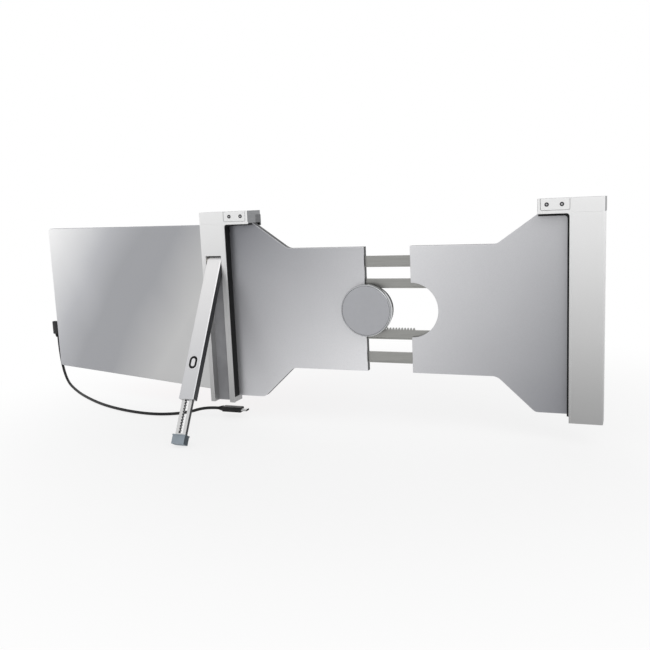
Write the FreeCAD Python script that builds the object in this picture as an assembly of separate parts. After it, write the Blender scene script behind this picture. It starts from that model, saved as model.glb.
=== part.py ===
# Laptop screen extender: a frame that clamps on a laptop lid, with one extra display hinged at its side.
# The frame's two halves slide apart on rails, driven by a rack and pinion behind a round knob,
# and a telescopic leg behind the display's side props the frame on the table.
# Millimetres. +X points to the display's side, +Y to the back, +Z up along the bars.
# The origin is on the knob's axis, on the plane of the pads that the lid leans on.
import FreeCAD, Part
import math
import os

V = FreeCAD.Vector

# Frame halves
bar_width = 30.0
bar_front = 1.0
bar_back = 20.0
bar_wall = 1.6
bar_edge_radius = 1.4
strip_thickness = 1.6
head_bottom = 93.3
head_height = 13.2
head_reach = 29.5
head_edge_radius = 1.6
plate_a_edge = 3.0
plate_width = 155.0
rest_gap = 49.0
plate_back = 9.0
plate_half = 65.0
plate_foot_rise = 6.0
chamfer_run = 40.0
plate_corner = 12.0
plate_bottom_step = 33.0
cover_thickness = 1.4
tray_floor = 1.5
tray_wall = 1.6
seam = 0.05

# Lid clamps
lid_slot = 9.5
lip_thickness = 2.5
lip_drop = 3.3
jaw_height = 8.7
lid_margin = 19.0
hook_height = 5.0
hook_rise = 1.5
hook_lip = 6.0
pad_thickness = 1.0
pad_reach = 36.0
pad_edge = 4.0
pad_height = 24.0
pad_top = 84.0
pad_rise = 9.0
pad_side_over = 2.0

# Rails, rack and knob
rail_thickness = 2.5
rail_front = 3.0
rail_clear = 0.15
rail_far_end = 88.0
rail_hold = 60.0
rail_lip = 0.6
rail_lip_height = 1.2
rail_spans = ((44.0, 55.5), (22.2, 32.0), (-56.0, -44.5))
tooth_module = 1.0
pinion_teeth = 40
pressure_angle = 20.0
backlash = 0.2
rack_depth = 11.0
axle_radius = 3.0
axle_clear = 0.05
knob_radius = 27.0
knob_thickness = 8.4
knob_gap = 0.3
knob_rim = 3.2
cap_depth = 1.2
guide_length = 38.0
guide_gap = 4.0
lobe_radius = 25.0
notch_clear = 1.0

# Display
swing = 16.0
hinge_inset = 4.0
hinge_y = -5.0
side_bezel = 6.05
display_thickness = 10.0
display_gap_top = 1.0
display_gap_bottom = 1.2
display_corner = 5.0
shell_wall = 1.6
bezel_thickness = 3.0
active_width = 309.9
active_height = 174.3
active_top = 6.6
bottom_bezel = 8.7
line_width = 1.2
glass_thickness = 1.0
panel_thickness = 3.6
pin_radius = 1.5
pin_depth = 7.0
pin_in_display = 4.5
sleeve_length = 5.0
sleeve_wall = 1.5
pin_clear = 0.05
button_clear = 0.15
button_proud = 0.8
power_z = 59.5
power_length = 9.5
menu_z = 38.5
menu_length = 18.0
button_width = 3.0
port_heights = (-25.0, -45.0, -62.0)
port_widths = (8.9, 8.9, 11.2)
port_height = 3.2
port_v = 1.5
plug_port = 1
board_width = 102.0
board_set = 8.0
board_low = -75.0
board_height = 61.0
chip_places = ((20.0, 35.0, 14.0, 14.0), (46.0, 45.0, 9.0, 6.0), (50.0, 20.0, 6.0, 6.0))
speaker_places = (40.0, 220.0)
speaker_width = 34.0
speaker_height = 12.0
speaker_rise = 4.0

# Leg
leg_pivot_y = 14.5
leg_pivot_z = 53.0
leg_angle = 29.0
leg_width = 18.0
leg_thickness = 9.0
leg_length = 157.5
leg_side_clear = 0.5
recess_top = 59.0
recess_floor = 9.7
leg_pin_radius = 1.5
inner_width = 12.0
inner_thickness = 4.0
inner_slot = 5.0
inner_shown = 37.0
inner_engaged = 70.0
inner_clear = 0.2
inner_travel_in = 35.0
bore_front_wall = 1.6
tooth_pitch = 3.0
tooth_depth = 0.8
foot_width = 16.0
foot_height = 10.1
foot_depth = 9.5
button_rise = 39.5
release_width = 9.0
release_length = 13.5
release_travel = 0.8
release_proud = 0.5

# Cable
cord_diameter = 3.5
cord_route = (
    (495.4, -94.3, -58.0),
    (495.4, -94.3, -86.0),
    (481.0, -86.0, -119.0),
    (447.0, -64.0, -126.6),
    (403.0, -33.0, -126.6),
    (354.0, -5.0, -126.6),
    (302.0, 12.5, -126.6),
    (262.0, 15.5, -126.6),
    (232.0, 3.0, -126.0),
    (213.0, -9.0, -121.0),
    (195.0, -9.0, -121.0),
)
plug_reach = 12.5
plug_span = 18.0
plug_thickness = 6.0
relief_length = 4.0
straight_length = 25.0
straight_height = 6.0
straight_width = 10.0
tongue_length = 6.5
tongue_width = 8.2
tongue_height = 2.4
tongue_clear = 0.1

# Places that follow from the sizes above
bar_in = plate_a_edge + plate_width
bar_out = bar_in + bar_width
bar_mid = (bar_in + bar_out) / 2
head_top = head_bottom + head_height
display_top = head_bottom - display_gap_top
display_bottom = display_top - active_top - active_height - bottom_bezel
hook_top = display_bottom - display_gap_bottom
hook_bottom = hook_top - hook_height
bar_bottom = hook_bottom - hook_rise
plate_foot = bar_bottom + plate_foot_rise
pad_foot = plate_foot + pad_rise
head_in = bar_in - head_reach
lid_edge = bar_out - lid_margin
lip_front = -lid_slot - lip_thickness
plate_b_edge = plate_a_edge - rest_gap
mirror_x = (plate_a_edge + plate_b_edge) / 2
strip_back = bar_front + strip_thickness
tray_back = plate_back - cover_thickness
pitch_radius = tooth_module * pinion_teeth / 2
knob_front = plate_back + knob_gap
knob_back = knob_front + knob_thickness
hinge_x = bar_out - hinge_inset
half = display_thickness / 2
display_width = active_width + 2 * side_bezel
outer_edge = display_width - half
leg_front = leg_pivot_y - leg_thickness / 2
leg_back = leg_pivot_y + leg_thickness / 2
leg_end = leg_pivot_z - leg_length
inner_front = leg_front + bore_front_wall + inner_clear
inner_back = inner_front + inner_thickness
inner_end = leg_end - inner_shown
foot_end = inner_end - foot_height


def box(x0, x1, y0, y1, z0, z1):
    return Part.makeBox(abs(x1 - x0), abs(y1 - y0), abs(z1 - z0), V(min(x0, x1), min(y0, y1), min(z0, z1)))


def cyl_x(y, z, radius, x0, x1):
    return Part.makeCylinder(radius, x1 - x0, V(x0, y, z), V(1, 0, 0))


def cyl_y(x, z, radius, y0, y1):
    return Part.makeCylinder(radius, y1 - y0, V(x, y0, z), V(0, 1, 0))


def cyl_z(x, y, radius, z0, z1):
    return Part.makeCylinder(radius, z1 - z0, V(x, y, z0), V(0, 0, 1))


def joined(shapes):
    whole = shapes[0].multiFuse(shapes[1:]) if len(shapes) > 1 else shapes[0]
    return whole.removeSplitter()


def mirrored(shape):
    return shape.mirror(V(mirror_x, 0, 0), V(1, 0, 0))


def eased(shape, radius, wanted):
    edges = [e for e in shape.Edges if wanted(e)]
    return shape.makeFillet(radius, edges) if edges else shape


def is_straight(edge, axis):
    ends = [v.Point for v in edge.Vertexes]
    if len(ends) != 2 or not isinstance(edge.Curve, (Part.Line, Part.LineSegment)):
        return False
    along = ends[1].sub(ends[0])
    return abs(getattr(along, axis)) > along.Length * 0.999


# A closed outline of (x, z, corner radius) points, extruded from y0 to y1
def slab(points, y0, y1):
    count = len(points)
    starts = []
    ends = []
    middles = []
    for i in range(count):
        x, z, radius = points[i]
        here = V(x, y0, z)
        before = V(points[i - 1][0], y0, points[i - 1][1]).sub(here).normalize()
        after = V(points[(i + 1) % count][0], y0, points[(i + 1) % count][1]).sub(here).normalize()
        if radius <= 0:
            starts.append(here)
            ends.append(here)
            middles.append(None)
            continue
        opening = before.getAngle(after)
        reach = radius / math.tan(opening / 2)
        centre = here.add((before + after).normalize().multiply(radius / math.sin(opening / 2)))
        starts.append(here.add(V(before).multiply(reach)))
        ends.append(here.add(V(after).multiply(reach)))
        inward = here.sub(centre).normalize().multiply(radius)
        middles.append(centre.add(inward))
    edges = []
    for i in range(count):
        if middles[i] is not None:
            edges.append(Part.Arc(starts[i], middles[i], ends[i]).toShape())
        following = starts[(i + 1) % count]
        if ends[i].distanceToPoint(following) > 1e-6:
            edges.append(Part.LineSegment(ends[i], following).toShape())
    return Part.Face(Part.Wire(edges)).extrude(V(0, y1 - y0, 0))


# A plate with two round ends, long axis along Z, extruded along Y
def obround_y(x, z, width, length, y0, y1):
    r = width / 2
    low = z - length / 2 + r
    high = z + length / 2 - r
    return joined([box(x - r, x + r, y0, y1, low, high), cyl_y(x, low, r, y0, y1), cyl_y(x, high, r, y0, y1)])


# The same, extruded along X, with its width along Y
def obround_x(y, z, width, length, x0, x1):
    r = width / 2
    low = z - length / 2 + r
    high = z + length / 2 - r
    return joined([box(x0, x1, y - r, y + r, low, high), cyl_x(y, low, r, x0, x1), cyl_x(y, high, r, x0, x1)])


# The outline of a frame plate on the display's side, grown by a margin
def plate_outline(grow, edge, corner):
    low = -plate_half - grow
    high = plate_half + grow
    top = head_bottom
    foot = plate_foot - grow
    bend = grow * math.tan(math.radians(20))
    return (
        (edge - grow, low, 0),
        (head_in - chamfer_run + bend, low, corner),
        (bar_in - plate_bottom_step + bend, foot, corner * 0.6),
        (bar_in, foot, 0),
        (bar_in, top, 0),
        (head_in, top, 0),
        (head_in - chamfer_run + bend, high, corner),
        (edge - grow, high, 0),
    )


def screw_y(x, z, head_radius, shank_radius, seat_y, tip_y):
    up = 1 if tip_y > seat_y else -1
    head_y = seat_y - up * 0.8
    head = cyl_y(x, z, head_radius, min(head_y, seat_y), max(head_y, seat_y))
    shank = cyl_y(x, z, shank_radius, min(seat_y, tip_y), max(seat_y, tip_y))
    bit = box(x - 0.9, x + 0.9, head_y - up * 0.01, head_y + up * 0.5, z - 0.25, z + 0.25)
    cross = box(x - 0.25, x + 0.25, head_y - up * 0.01, head_y + up * 0.5, z - 0.9, z + 0.9)
    return joined([head, shank]).cut(bit).cut(cross)


# Bars and their front strips
def make_bar(with_recess):
    body = box(bar_in, bar_out, strip_back, bar_back, bar_bottom, head_bottom)
    rear = lambda e: is_straight(e, "z") and e.Vertexes[0].Y > bar_back - 0.01
    body = eased(body, bar_edge_radius, rear)
    low = bar_bottom + bar_wall
    high = head_bottom - bar_wall
    inner_in = bar_in + bar_wall
    inner_out = bar_out - bar_wall
    if not with_recess:
        return body.cut(box(inner_in, inner_out, strip_back - 1, bar_back - bar_wall, low, high))
    reach = leg_width / 2 + leg_side_clear
    recess = box(bar_mid - reach, bar_mid + reach, recess_floor, bar_back + 1, bar_bottom - 1, recess_top)
    shallow = box(inner_in, inner_out, strip_back - 1, recess_floor - bar_wall, low, high)
    deep = box(inner_in, inner_out, strip_back - 1, bar_back - bar_wall, recess_top + bar_wall, high)
    pin_hole = cyl_x(leg_pivot_y, leg_pivot_z, leg_pin_radius, bar_in + 1, bar_out - 1)
    return body.cut(recess).cut(shallow).cut(deep).cut(pin_hole)


def make_strip():
    return box(bar_in, bar_out, bar_front, strip_back, bar_bottom, head_bottom)


# Clamp heads over the lid's top edge
screw_offsets = (8.5, 22.0)
head_plate_depth = 1.2
head_plate_gap = 0.3
head_plate_span = (head_in + 2.7, head_in + head_reach - 0.3)
head_plate_rise = 2.2
head_plate_corner = 1.5


def make_head(with_hinge):
    rear = box(head_in, bar_out, bar_front, bar_back, head_bottom, head_top)
    arm = box(head_in, bar_out, lip_front, bar_front, head_bottom + jaw_height, head_top)
    outboard = box(lid_edge, bar_out, lip_front, bar_front, head_bottom, head_top)
    head = joined([rear, arm, outboard])
    corners = lambda e: is_straight(e, "z") and (
        e.Vertexes[0].Y > bar_back - 0.01 or e.Vertexes[0].Y < lip_front + 0.01)
    head = eased(head, head_edge_radius, corners)
    head = head.cut(head_plate_block(0, bar_back + 1, head_top + 1))
    for step in screw_offsets:
        head = head.cut(cyl_y(head_in + step, head_screw_z, 1.0, bar_back - 9, bar_back))
    if with_hinge:
        head = head.cut(cyl_z(hinge_x, hinge_y, pin_radius, head_bottom - 1, head_bottom + pin_depth))
    return head


head_screw_z = (head_bottom + head_plate_rise + head_top) / 2


def head_plate_block(gap, rear, top):
    x0, x1 = head_plate_span
    low = head_bottom + head_plate_rise + gap
    block = box(x0 + gap, x1 - gap, bar_back - head_plate_depth, rear, low, top)
    return eased(block, head_plate_corner, lambda e: is_straight(e, "y") and e.Vertexes[0].Z < low + 0.01)


def make_head_plate():
    plate = head_plate_block(head_plate_gap, bar_back - 0.1, head_top - 0.1)
    for step in screw_offsets:
        plate = plate.cut(cyl_y(head_in + step, head_screw_z, 1.0, bar_back - 3, bar_back + 1))
    return plate


def make_head_screws():
    seat = bar_back - 0.1
    return [screw_y(head_in + s, head_screw_z, 2.0, 1.0, seat, bar_back - 8.5) for s in screw_offsets]


def make_jaw():
    over = box(head_in, lid_edge, lip_front, bar_front, head_bottom, head_bottom + jaw_height)
    lip = box(head_in, lid_edge - 3, lip_front, -lid_slot, head_bottom - lip_drop, head_bottom)
    jaw = joined([over, lip])
    front = lambda e: is_straight(e, "x") and e.Vertexes[0].Y < lip_front + 0.01
    return eased(jaw, 0.8, front)


# Hooks at the bars' feet, round the lid's side edges
def make_hook(with_hinge):
    stem = box(lid_edge + 0.8, bar_out - 4 if with_hinge else bar_out - 6, lip_front, bar_front, hook_bottom, hook_top)
    lip = box(lid_edge - hook_lip, lid_edge + 0.8, lip_front, -lid_slot, hook_bottom, hook_top)
    parts = [stem, lip]
    if with_hinge:
        parts.append(box(hinge_x - half, hinge_x, hinge_y - half, bar_front, hook_bottom, hook_top))
        parts.append(cyl_z(hinge_x, hinge_y, half, hook_bottom, hook_top))
        parts.append(box(hinge_x - 1, hinge_x + half, hinge_y, bar_front, hook_bottom, hook_top))
    hook = joined(parts)
    if with_hinge:
        hook = hook.cut(cyl_z(hinge_x, hinge_y, pin_radius, hook_bottom + 1, hook_top + 1))
    return hook


# Trays: the dark front plates with their walls, open where the rails and the pinion pass
def rail_windows(x0, x1, clear):
    cuts = []
    top = rail_front + rail_thickness
    for low, high in rail_spans:
        cuts.append(box(x0, x1, rail_front - clear, top + clear, low - clear, high + clear))
        cuts.append(box(x0, x1, top, top + rail_lip + clear, low - clear, low + rail_lip_height + clear))
    rack_low = rack_bottom - clear
    cuts.append(box(x0, x1, rail_front - clear, top + clear, rack_low, rack_tip + clear))
    cuts.append(box(x0, x1, top, top + rail_lip + clear, rack_low, rack_bottom + rail_lip_height + clear))
    return cuts


rack_tip = -pitch_radius + tooth_module
rack_root = -pitch_radius - 1.25 * tooth_module
rack_bottom = rack_tip - rack_depth - tooth_module


def make_tray(edge_cut):
    outer = slab(plate_outline(0, plate_a_edge, plate_corner), bar_front, tray_back - seam)
    hollow = slab(plate_outline(-tray_wall, plate_a_edge, plate_corner - tray_wall), bar_front + tray_floor, tray_back + 1)
    side = box(bar_in - tray_wall, bar_in + 1, bar_front + tray_floor, tray_back + 1, plate_foot, head_bottom)
    hollow = hollow.cut(side)
    top = box(head_in - 5, bar_in, bar_front + tray_floor, tray_back + 1, head_bottom - tray_wall, head_bottom + 1)
    tray = outer.cut(hollow.cut(top))
    for window in rail_windows(plate_a_edge - 1, plate_a_edge + tray_wall + 1, edge_cut):
        tray = tray.cut(window)
    return tray


boss_inner = 20.0
boss_outer = bar_in - 38.0
boss_places = ((boss_inner, 60.0), (boss_inner, -60.0), (boss_outer, 78.0), (boss_outer, -80.0))
boss_radius = 2.6


def with_bosses(tray):
    posts = [cyl_y(x, z, boss_radius, bar_front + tray_floor - 0.5, tray_back - seam) for x, z in boss_places]
    tray = joined([tray] + posts)
    for x, z in boss_places:
        tray = tray.cut(cyl_y(x, z, 1.0, bar_front - 1, tray_back + 1))
        tray = tray.cut(cyl_y(x, z, 2.0, bar_front - 1, bar_front + 0.8))
    return tray


def make_cover():
    cover = slab(plate_outline(0, plate_a_edge, plate_corner), tray_back, plate_back)
    rim = lambda e: all(v.Y > plate_back - 0.01 for v in e.Vertexes) and all(v.X < bar_in - 0.5 for v in e.Vertexes)
    cover = eased(cover, 0.5, rim)
    posts = [cyl_y(x, z, 0.99, tray_back - 2.4, tray_back + 0.1) for x, z in boss_places]
    return joined([cover] + posts)


def make_plate_screws():
    seat = bar_front + 0.8
    return [screw_y(x, z, 1.95, 0.98, seat, tray_back - 2.6) for x, z in boss_places]


def make_tray_a():
    mouth = cyl_y(0, 0, pitch_radius + tooth_module + 1, bar_front + tray_floor, tray_back + 1)
    tray = with_bosses(make_tray(rail_clear)).cut(mouth)
    lobe = cyl_y(0, 0, lobe_radius, bar_front, bar_front + tray_floor)
    boss = cyl_y(0, 0, axle_radius + 3, bar_front, rail_front - 0.1)
    tray = joined([tray, lobe, boss])
    return tray.cut(cyl_y(0, 0, axle_radius, bar_front - 1, rail_front))


def make_cover_a():
    return make_cover().cut(cyl_y(0, 0, hub_radius + 1, tray_back - 1, plate_back + 1))


hub_radius = 8.0
notch_radius = knob_radius + notch_clear


def notch_b():
    return cyl_y(plate_b_edge, 0, notch_radius, bar_front - 1, plate_back + 1)


def make_tray_b():
    tray = mirrored(with_bosses(make_tray(0.1)))
    wall = cyl_y(plate_b_edge, 0, notch_radius + tray_wall, bar_front, tray_back - seam)
    inside = slab(plate_outline(0, plate_a_edge, plate_corner), bar_front, tray_back - seam)
    wall = wall.common(mirrored(inside)).cut(notch_b())
    tray = joined([tray, wall]).cut(notch_b())
    for window in rail_windows(plate_b_edge - notch_radius - 3, plate_b_edge + 1, 0.1):
        tray = tray.cut(window)
    lands = []
    x1 = plate_b_edge - notch_radius - 4
    x0 = plate_b_edge - rail_hold
    for low, high in rail_spans + ((rack_bottom, rack_root),):
        lands.append(box(x0, x1, bar_front + tray_floor - 0.3, rail_front, low, high))
    tray = joined([tray] + lands)
    for x, z in rail_screw_places():
        tray = tray.cut(cyl_y(x, z, 0.8, bar_front, rail_front + 1))
    return tray


def make_cover_b():
    return mirrored(make_cover()).cut(notch_b())


def make_pads():
    x0 = bar_in - pad_reach
    x1 = bar_in - pad_edge
    pad_front = bar_front - pad_thickness
    plate = box(x0, x1, pad_front, bar_front, pad_top - pad_height, pad_top)
    lower = box(x0, x1, pad_front, bar_front, pad_foot, pad_foot + pad_height)
    side = box(bar_in + 1, lid_edge - 1, pad_front, bar_front, pad_foot - pad_side_over, pad_top + pad_side_over)
    pads = [plate, lower, side]
    return [eased(p, 1.5, lambda e: is_straight(e, "y")) for p in pads]


# Rails fixed in the far half, running in guides in the display's half
def rail_screw_places():
    places = []
    for low, high in rail_spans + ((rack_bottom, rack_root),):
        middle = (low + high) / 2 + 0.5
        places.append((plate_b_edge - rail_hold + 6, middle))
        places.append((plate_b_edge - notch_radius - 9, middle))
    return places


def make_rail(low, high):
    x0 = plate_b_edge - rail_hold
    top = rail_front + rail_thickness
    rail = box(x0, rail_far_end, rail_front, top, low, high)
    lip = box(x0, rail_far_end, top - 0.5, top + rail_lip, low, low + rail_lip_height)
    rail = joined([rail, lip])
    for x, z in rail_screw_places():
        if low < z < high:
            rail = rail.cut(cyl_y(x, z, 0.8, rail_front - 1, top + 1))
    return rail


def make_rail_screws():
    seat = rail_front + rail_thickness
    return [screw_y(x, z, 1.6, 0.8, seat, bar_front + 0.4) for x, z in rail_screw_places()]


# A rack tooth's flank leans by the pressure angle, thinned by half the backlash on each side
def make_rack():
    rail = make_rail(rack_bottom, rack_root)
    lean = math.tan(math.radians(pressure_angle))
    pitch = math.pi * tooth_module
    half_width = pitch / 4 - backlash / 4
    first = math.ceil((plate_b_edge - 2) / pitch)
    last = math.floor((rail_far_end - 2) / pitch)
    teeth = []
    for i in range(first, last + 1):
        wide = half_width + (-pitch_radius - rack_root) * lean
        narrow = half_width - (rack_tip + pitch_radius) * lean
        x = i * pitch
        low = rack_root - 0.2
        points = ((x - wide, low, 0), (x + wide, low, 0), (x + narrow, rack_tip, 0), (x - narrow, rack_tip, 0))
        teeth.append(slab(points, rail_front, rail_front + rail_thickness))
    return joined([rail] + teeth)


# The pinion's involute flanks, each a spline through points from its base circle to its tip
def make_pinion():
    base = pitch_radius * math.cos(math.radians(pressure_angle))
    tip = pitch_radius + tooth_module
    root = pitch_radius - 1.25 * tooth_module
    involute = math.tan(math.radians(pressure_angle)) - math.radians(pressure_angle)
    half_angle = math.pi / 2 / pinion_teeth - backlash / 4 / pitch_radius

    def flank(radius):
        turn = math.acos(min(1, base / radius))
        return half_angle + involute - (math.tan(turn) - turn)

    steps = [base + (tip - base) * i / 4 for i in range(5)]
    step = 2 * math.pi / pinion_teeth
    # at rest a tooth gap points straight down at the rack's tooth
    first = -math.pi / 2 + step / 2

    def at(radius, angle):
        return V(radius * math.cos(angle), rail_front, radius * math.sin(angle))

    edges = []
    for i in range(pinion_teeth):
        middle = first + i * step
        rising = [at(r, middle - flank(r)) for r in steps]
        falling = [at(r, middle + flank(r)) for r in reversed(steps)]
        foot_in = at(root, middle - flank(base))
        foot_out = at(root, middle + flank(base))
        next_in = at(root, middle + step - flank(base))
        valley = at(root, middle + step / 2)
        for path in ([foot_in] + rising, falling + [foot_out]):
            for p, q in zip(path, path[1:]):
                edges.append(Part.LineSegment(p, q).toShape())
        edges.append(Part.Arc(rising[-1], at(tip, middle), falling[0]).toShape())
        edges.append(Part.Arc(foot_out, valley, next_in).toShape())
    wheel = Part.Face(Part.Wire(Part.__sortEdges__(edges))).extrude(V(0, rail_thickness, 0))
    hub = cyl_y(0, 0, hub_radius, rail_front, knob_front)
    drive = box(-hub_radius, hub_radius, knob_front - 0.01, knob_front + drive_depth, -2, 2)
    drive = drive.common(cyl_y(0, 0, hub_radius, rail_front, knob_back))
    bore = cyl_y(0, 0, axle_radius + axle_clear, rail_front - 1, knob_back)
    return joined([wheel, hub, drive]).cut(bore)


drive_depth = 2.0
clip_seat = knob_front + 4.4


def make_knob():
    body = cyl_y(0, 0, knob_radius, knob_front, knob_back)
    body = eased(body, 1.2, lambda e: e.Curve.TypeId == "Part::GeomCircle" and e.Vertexes[0].Y > knob_back - 0.01)
    body = eased(body, 0.6, lambda e: e.Curve.TypeId == "Part::GeomCircle" and e.Vertexes[0].Y < knob_front + 0.01)
    recess = cyl_y(0, 0, knob_radius - knob_rim, knob_back - cap_depth, knob_back + 1)
    well = cyl_y(0, 0, 8, clip_seat, knob_back)
    bore = cyl_y(0, 0, axle_radius + axle_clear, knob_front - 1, knob_back)
    slot = box(-hub_radius, hub_radius, knob_front - 1, knob_front + drive_depth, -2, 2)
    slot = slot.common(cyl_y(0, 0, hub_radius, knob_front - 1, knob_back))
    return body.cut(recess).cut(well).cut(bore).cut(slot)


def make_knob_cap():
    cap = cyl_y(0, 0, knob_radius - knob_rim - 0.05, knob_back - cap_depth, knob_back - 0.15)
    return eased(cap, 0.3, lambda e: e.Curve.TypeId == "Part::GeomCircle" and e.Vertexes[0].Y > knob_back - 0.2)


clip_thickness = 0.8


def make_axle():
    tip = clip_seat + 0.1 + clip_thickness + 0.6
    pin = cyl_y(0, 0, axle_radius, bar_front, tip)
    groove = cyl_y(0, 0, axle_radius + 1, clip_seat + 0.1, clip_seat + 0.1 + clip_thickness)
    groove = groove.cut(cyl_y(0, 0, axle_radius - 0.6, clip_seat, clip_seat + 2))
    return pin.cut(groove)


def make_clip():
    low = clip_seat + 0.1
    ring = cyl_y(0, 0, axle_radius + 2.4, low, low + clip_thickness)
    ring = ring.cut(cyl_y(0, 0, axle_radius - 0.6, low - 1, low + 2))
    return ring.cut(box(-2, 2, low - 1, low + 2, 0, 8))


def make_guides():
    spans = list(rail_spans) + [(rack_bottom, rack_tip)]
    blocks = []
    x0 = pitch_radius + tooth_module + guide_gap
    x1 = x0 + guide_length
    for low, high in spans:
        block = box(x0, x1, bar_front + tray_floor, tray_back - seam, low - 3, high + 3)
        for window in rail_windows(x0 - 1, x1 + 1, rail_clear):
            block = block.cut(window)
        blocks.append(block)
    return blocks


# Display: modelled in line with the frame, in places along its width from the hinge axis, then swung
def placed(shape):
    moved = shape.copy()
    moved.rotate(V(hinge_x, hinge_y, 0), V(0, 0, 1), -swing)
    return moved


def at_u(u):
    return hinge_x + u


def at_v(v):
    return hinge_y + v


active_left = at_u(-half + side_bezel)
active_right = active_left + active_width
active_high = display_top - active_top
active_low = active_high - active_height
front_seam = -half + bezel_thickness


def display_block(shrink):
    x0 = at_u(0)
    x1 = at_u(outer_edge) - shrink
    z0 = display_bottom + shrink
    z1 = display_top - shrink
    body = box(x0, x1, at_v(-half + shrink), at_v(half - shrink), z0, z1)
    radius = max(display_corner - shrink, 1.0)
    body = eased(body, radius, lambda e: is_straight(e, "y") and e.Vertexes[0].X > x1 - 0.01)
    barrel = cyl_z(at_u(0), at_v(0), half - shrink, z0, z1)
    return joined([body, barrel])


def rear_eased(body):
    rear = at_v(half) - 0.01
    wanted = lambda e: all(v.Y > rear for v in e.Vertexes) and any(v.X > at_u(10) for v in e.Vertexes)
    return eased(body, 1.6, wanted)


def window_block(grow, y0, y1):
    return box(active_left - grow, active_right + grow, y0, y1, active_low - grow, active_high + grow)


def hinge_bores(radius):
    top = cyl_z(at_u(0), at_v(0), radius, display_top - sleeve_length, display_top + 1)
    low = cyl_z(at_u(0), at_v(0), radius, display_bottom - 1, display_bottom + sleeve_length)
    return [top, low]



def side_cuts():
    x0 = at_u(outer_edge) - 12
    x1 = at_u(outer_edge) + 1
    cuts = []
    for z, width in zip(port_heights, port_widths):
        cuts.append(obround_x(at_v(port_v), z, port_height, width, x0, x1))
    cuts.append(obround_x(at_v(port_v), power_z, button_width + 2 * button_clear, power_length + 2 * button_clear, x0, x1))
    cuts.append(obround_x(at_v(port_v), menu_z, button_width + 2 * button_clear, menu_length + 2 * button_clear, x0, x1))
    return cuts



def make_display_back():
    body = rear_eased(display_block(0))
    keep = box(at_u(-20), at_u(display_width + 20), at_v(front_seam), at_v(20), display_bottom - 9, display_top + 9)
    body = body.common(keep)
    inner = box(at_u(8), at_u(outer_edge) - shell_wall, at_v(-9), at_v(half - shell_wall),
                display_bottom + shell_wall, display_top - shell_wall)
    inner = eased(inner, 3.0, lambda e: is_straight(e, "y"))
    body = body.cut(inner).cut(window_block(line_width, at_v(-9), at_v(panel_rear)))
    for cut in side_cuts() + hinge_bores(pin_radius + sleeve_wall):
        body = body.cut(cut)
    return body


panel_front = -half + 0.2 + glass_thickness
panel_rear = panel_front + panel_thickness


def make_bezel():
    body = display_block(0)
    keep = box(at_u(-20), at_u(display_width + 20), at_v(-20), at_v(front_seam) - 0.0, display_bottom - 9, display_top + 9)
    body = body.common(keep)
    body = body.cut(window_block(line_width, at_v(-9), at_v(9)))
    for cut in hinge_bores(pin_radius + sleeve_wall):
        body = body.cut(cut)
    for cut in side_cuts():
        body = body.cut(cut)
    return body


def make_glass():
    return window_block(line_width - 0.05, at_v(-half + 0.2), at_v(panel_front))


def make_panel():
    return window_block(line_width - 0.1, at_v(panel_front), at_v(panel_rear - 0.05))


board_rear = half - shell_wall


def make_board():
    x1 = at_u(outer_edge) - board_set
    x0 = x1 - board_width
    board = box(x0, x1, at_v(board_rear - 1.2), at_v(board_rear), board_low, board_low + board_height)
    chips = []
    for x, z, wide, tall in chip_places:
        low = board_low + z
        chips.append(box(x0 + x, x0 + x + wide, at_v(board_rear - 1.9), at_v(board_rear - 1.2), low, low + tall))
    return joined([board] + chips)


def make_sockets():
    sockets = []
    x1 = at_u(outer_edge) - 0.4
    for z, width in zip(port_heights, port_widths):
        outer = obround_x(at_v(port_v), z, port_height - 0.02, width - 0.02, x1 - 7.4, x1)
        mouth = obround_x(at_v(port_v), z, port_height - 0.6, width - 0.6, x1 - 6.8, x1 + 1)
        tab = box(x1 - 7, x1 - 1.2, at_v(port_v) - 0.35, at_v(port_v) + 0.35, z - width / 2 + 2, z + width / 2 - 2)
        foot = box(x1 - 10.5, x1 - 7.2, at_v(board_rear - 1.7), at_v(board_rear - 1.2), z - 3, z + 3)
        shell = joined([outer, foot]).cut(mouth)
        inside = z == port_heights[plug_port]
        sockets.append(shell if inside else joined([shell, tab]))
    return sockets


def make_speakers():
    boxes = []
    low = display_bottom + speaker_rise
    for x in speaker_places:
        body = box(at_u(x), at_u(x + speaker_width), at_v(panel_rear), at_v(board_rear), low, low + speaker_height)
        boxes.append(eased(body, 1.0, lambda e: is_straight(e, "y")))
    return boxes


def make_sleeves():
    sleeves = []
    for z0, z1 in ((display_top - sleeve_length, display_top), (display_bottom, display_bottom + sleeve_length)):
        tube = cyl_z(at_u(0), at_v(0), pin_radius + sleeve_wall, z0, z1)
        sleeves.append(tube.cut(cyl_z(at_u(0), at_v(0), pin_radius + pin_clear, z0 - 1, z1 + 1)))
    return sleeves


def make_hinge_pins():
    top = cyl_z(hinge_x, hinge_y, pin_radius, display_top - pin_in_display, head_bottom + pin_depth)
    low = cyl_z(hinge_x, hinge_y, pin_radius, hook_bottom + 1, display_bottom + pin_in_display)
    return [top, low]


def make_side_button(z, length):
    x0 = at_u(outer_edge) - shell_wall - 1.2
    x1 = at_u(outer_edge) + button_proud
    button = obround_x(at_v(port_v), z, button_width, length, x0, x1)
    return eased(button, 0.3, lambda e: all(v.X > x1 - 0.01 for v in e.Vertexes))


# Leg: modelled folded in its recess, then turned out to its rest angle
def leg_placed(shape):
    moved = shape.copy()
    moved.rotate(V(0, leg_pivot_y, leg_pivot_z), V(1, 0, 0), leg_angle)
    return moved


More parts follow.
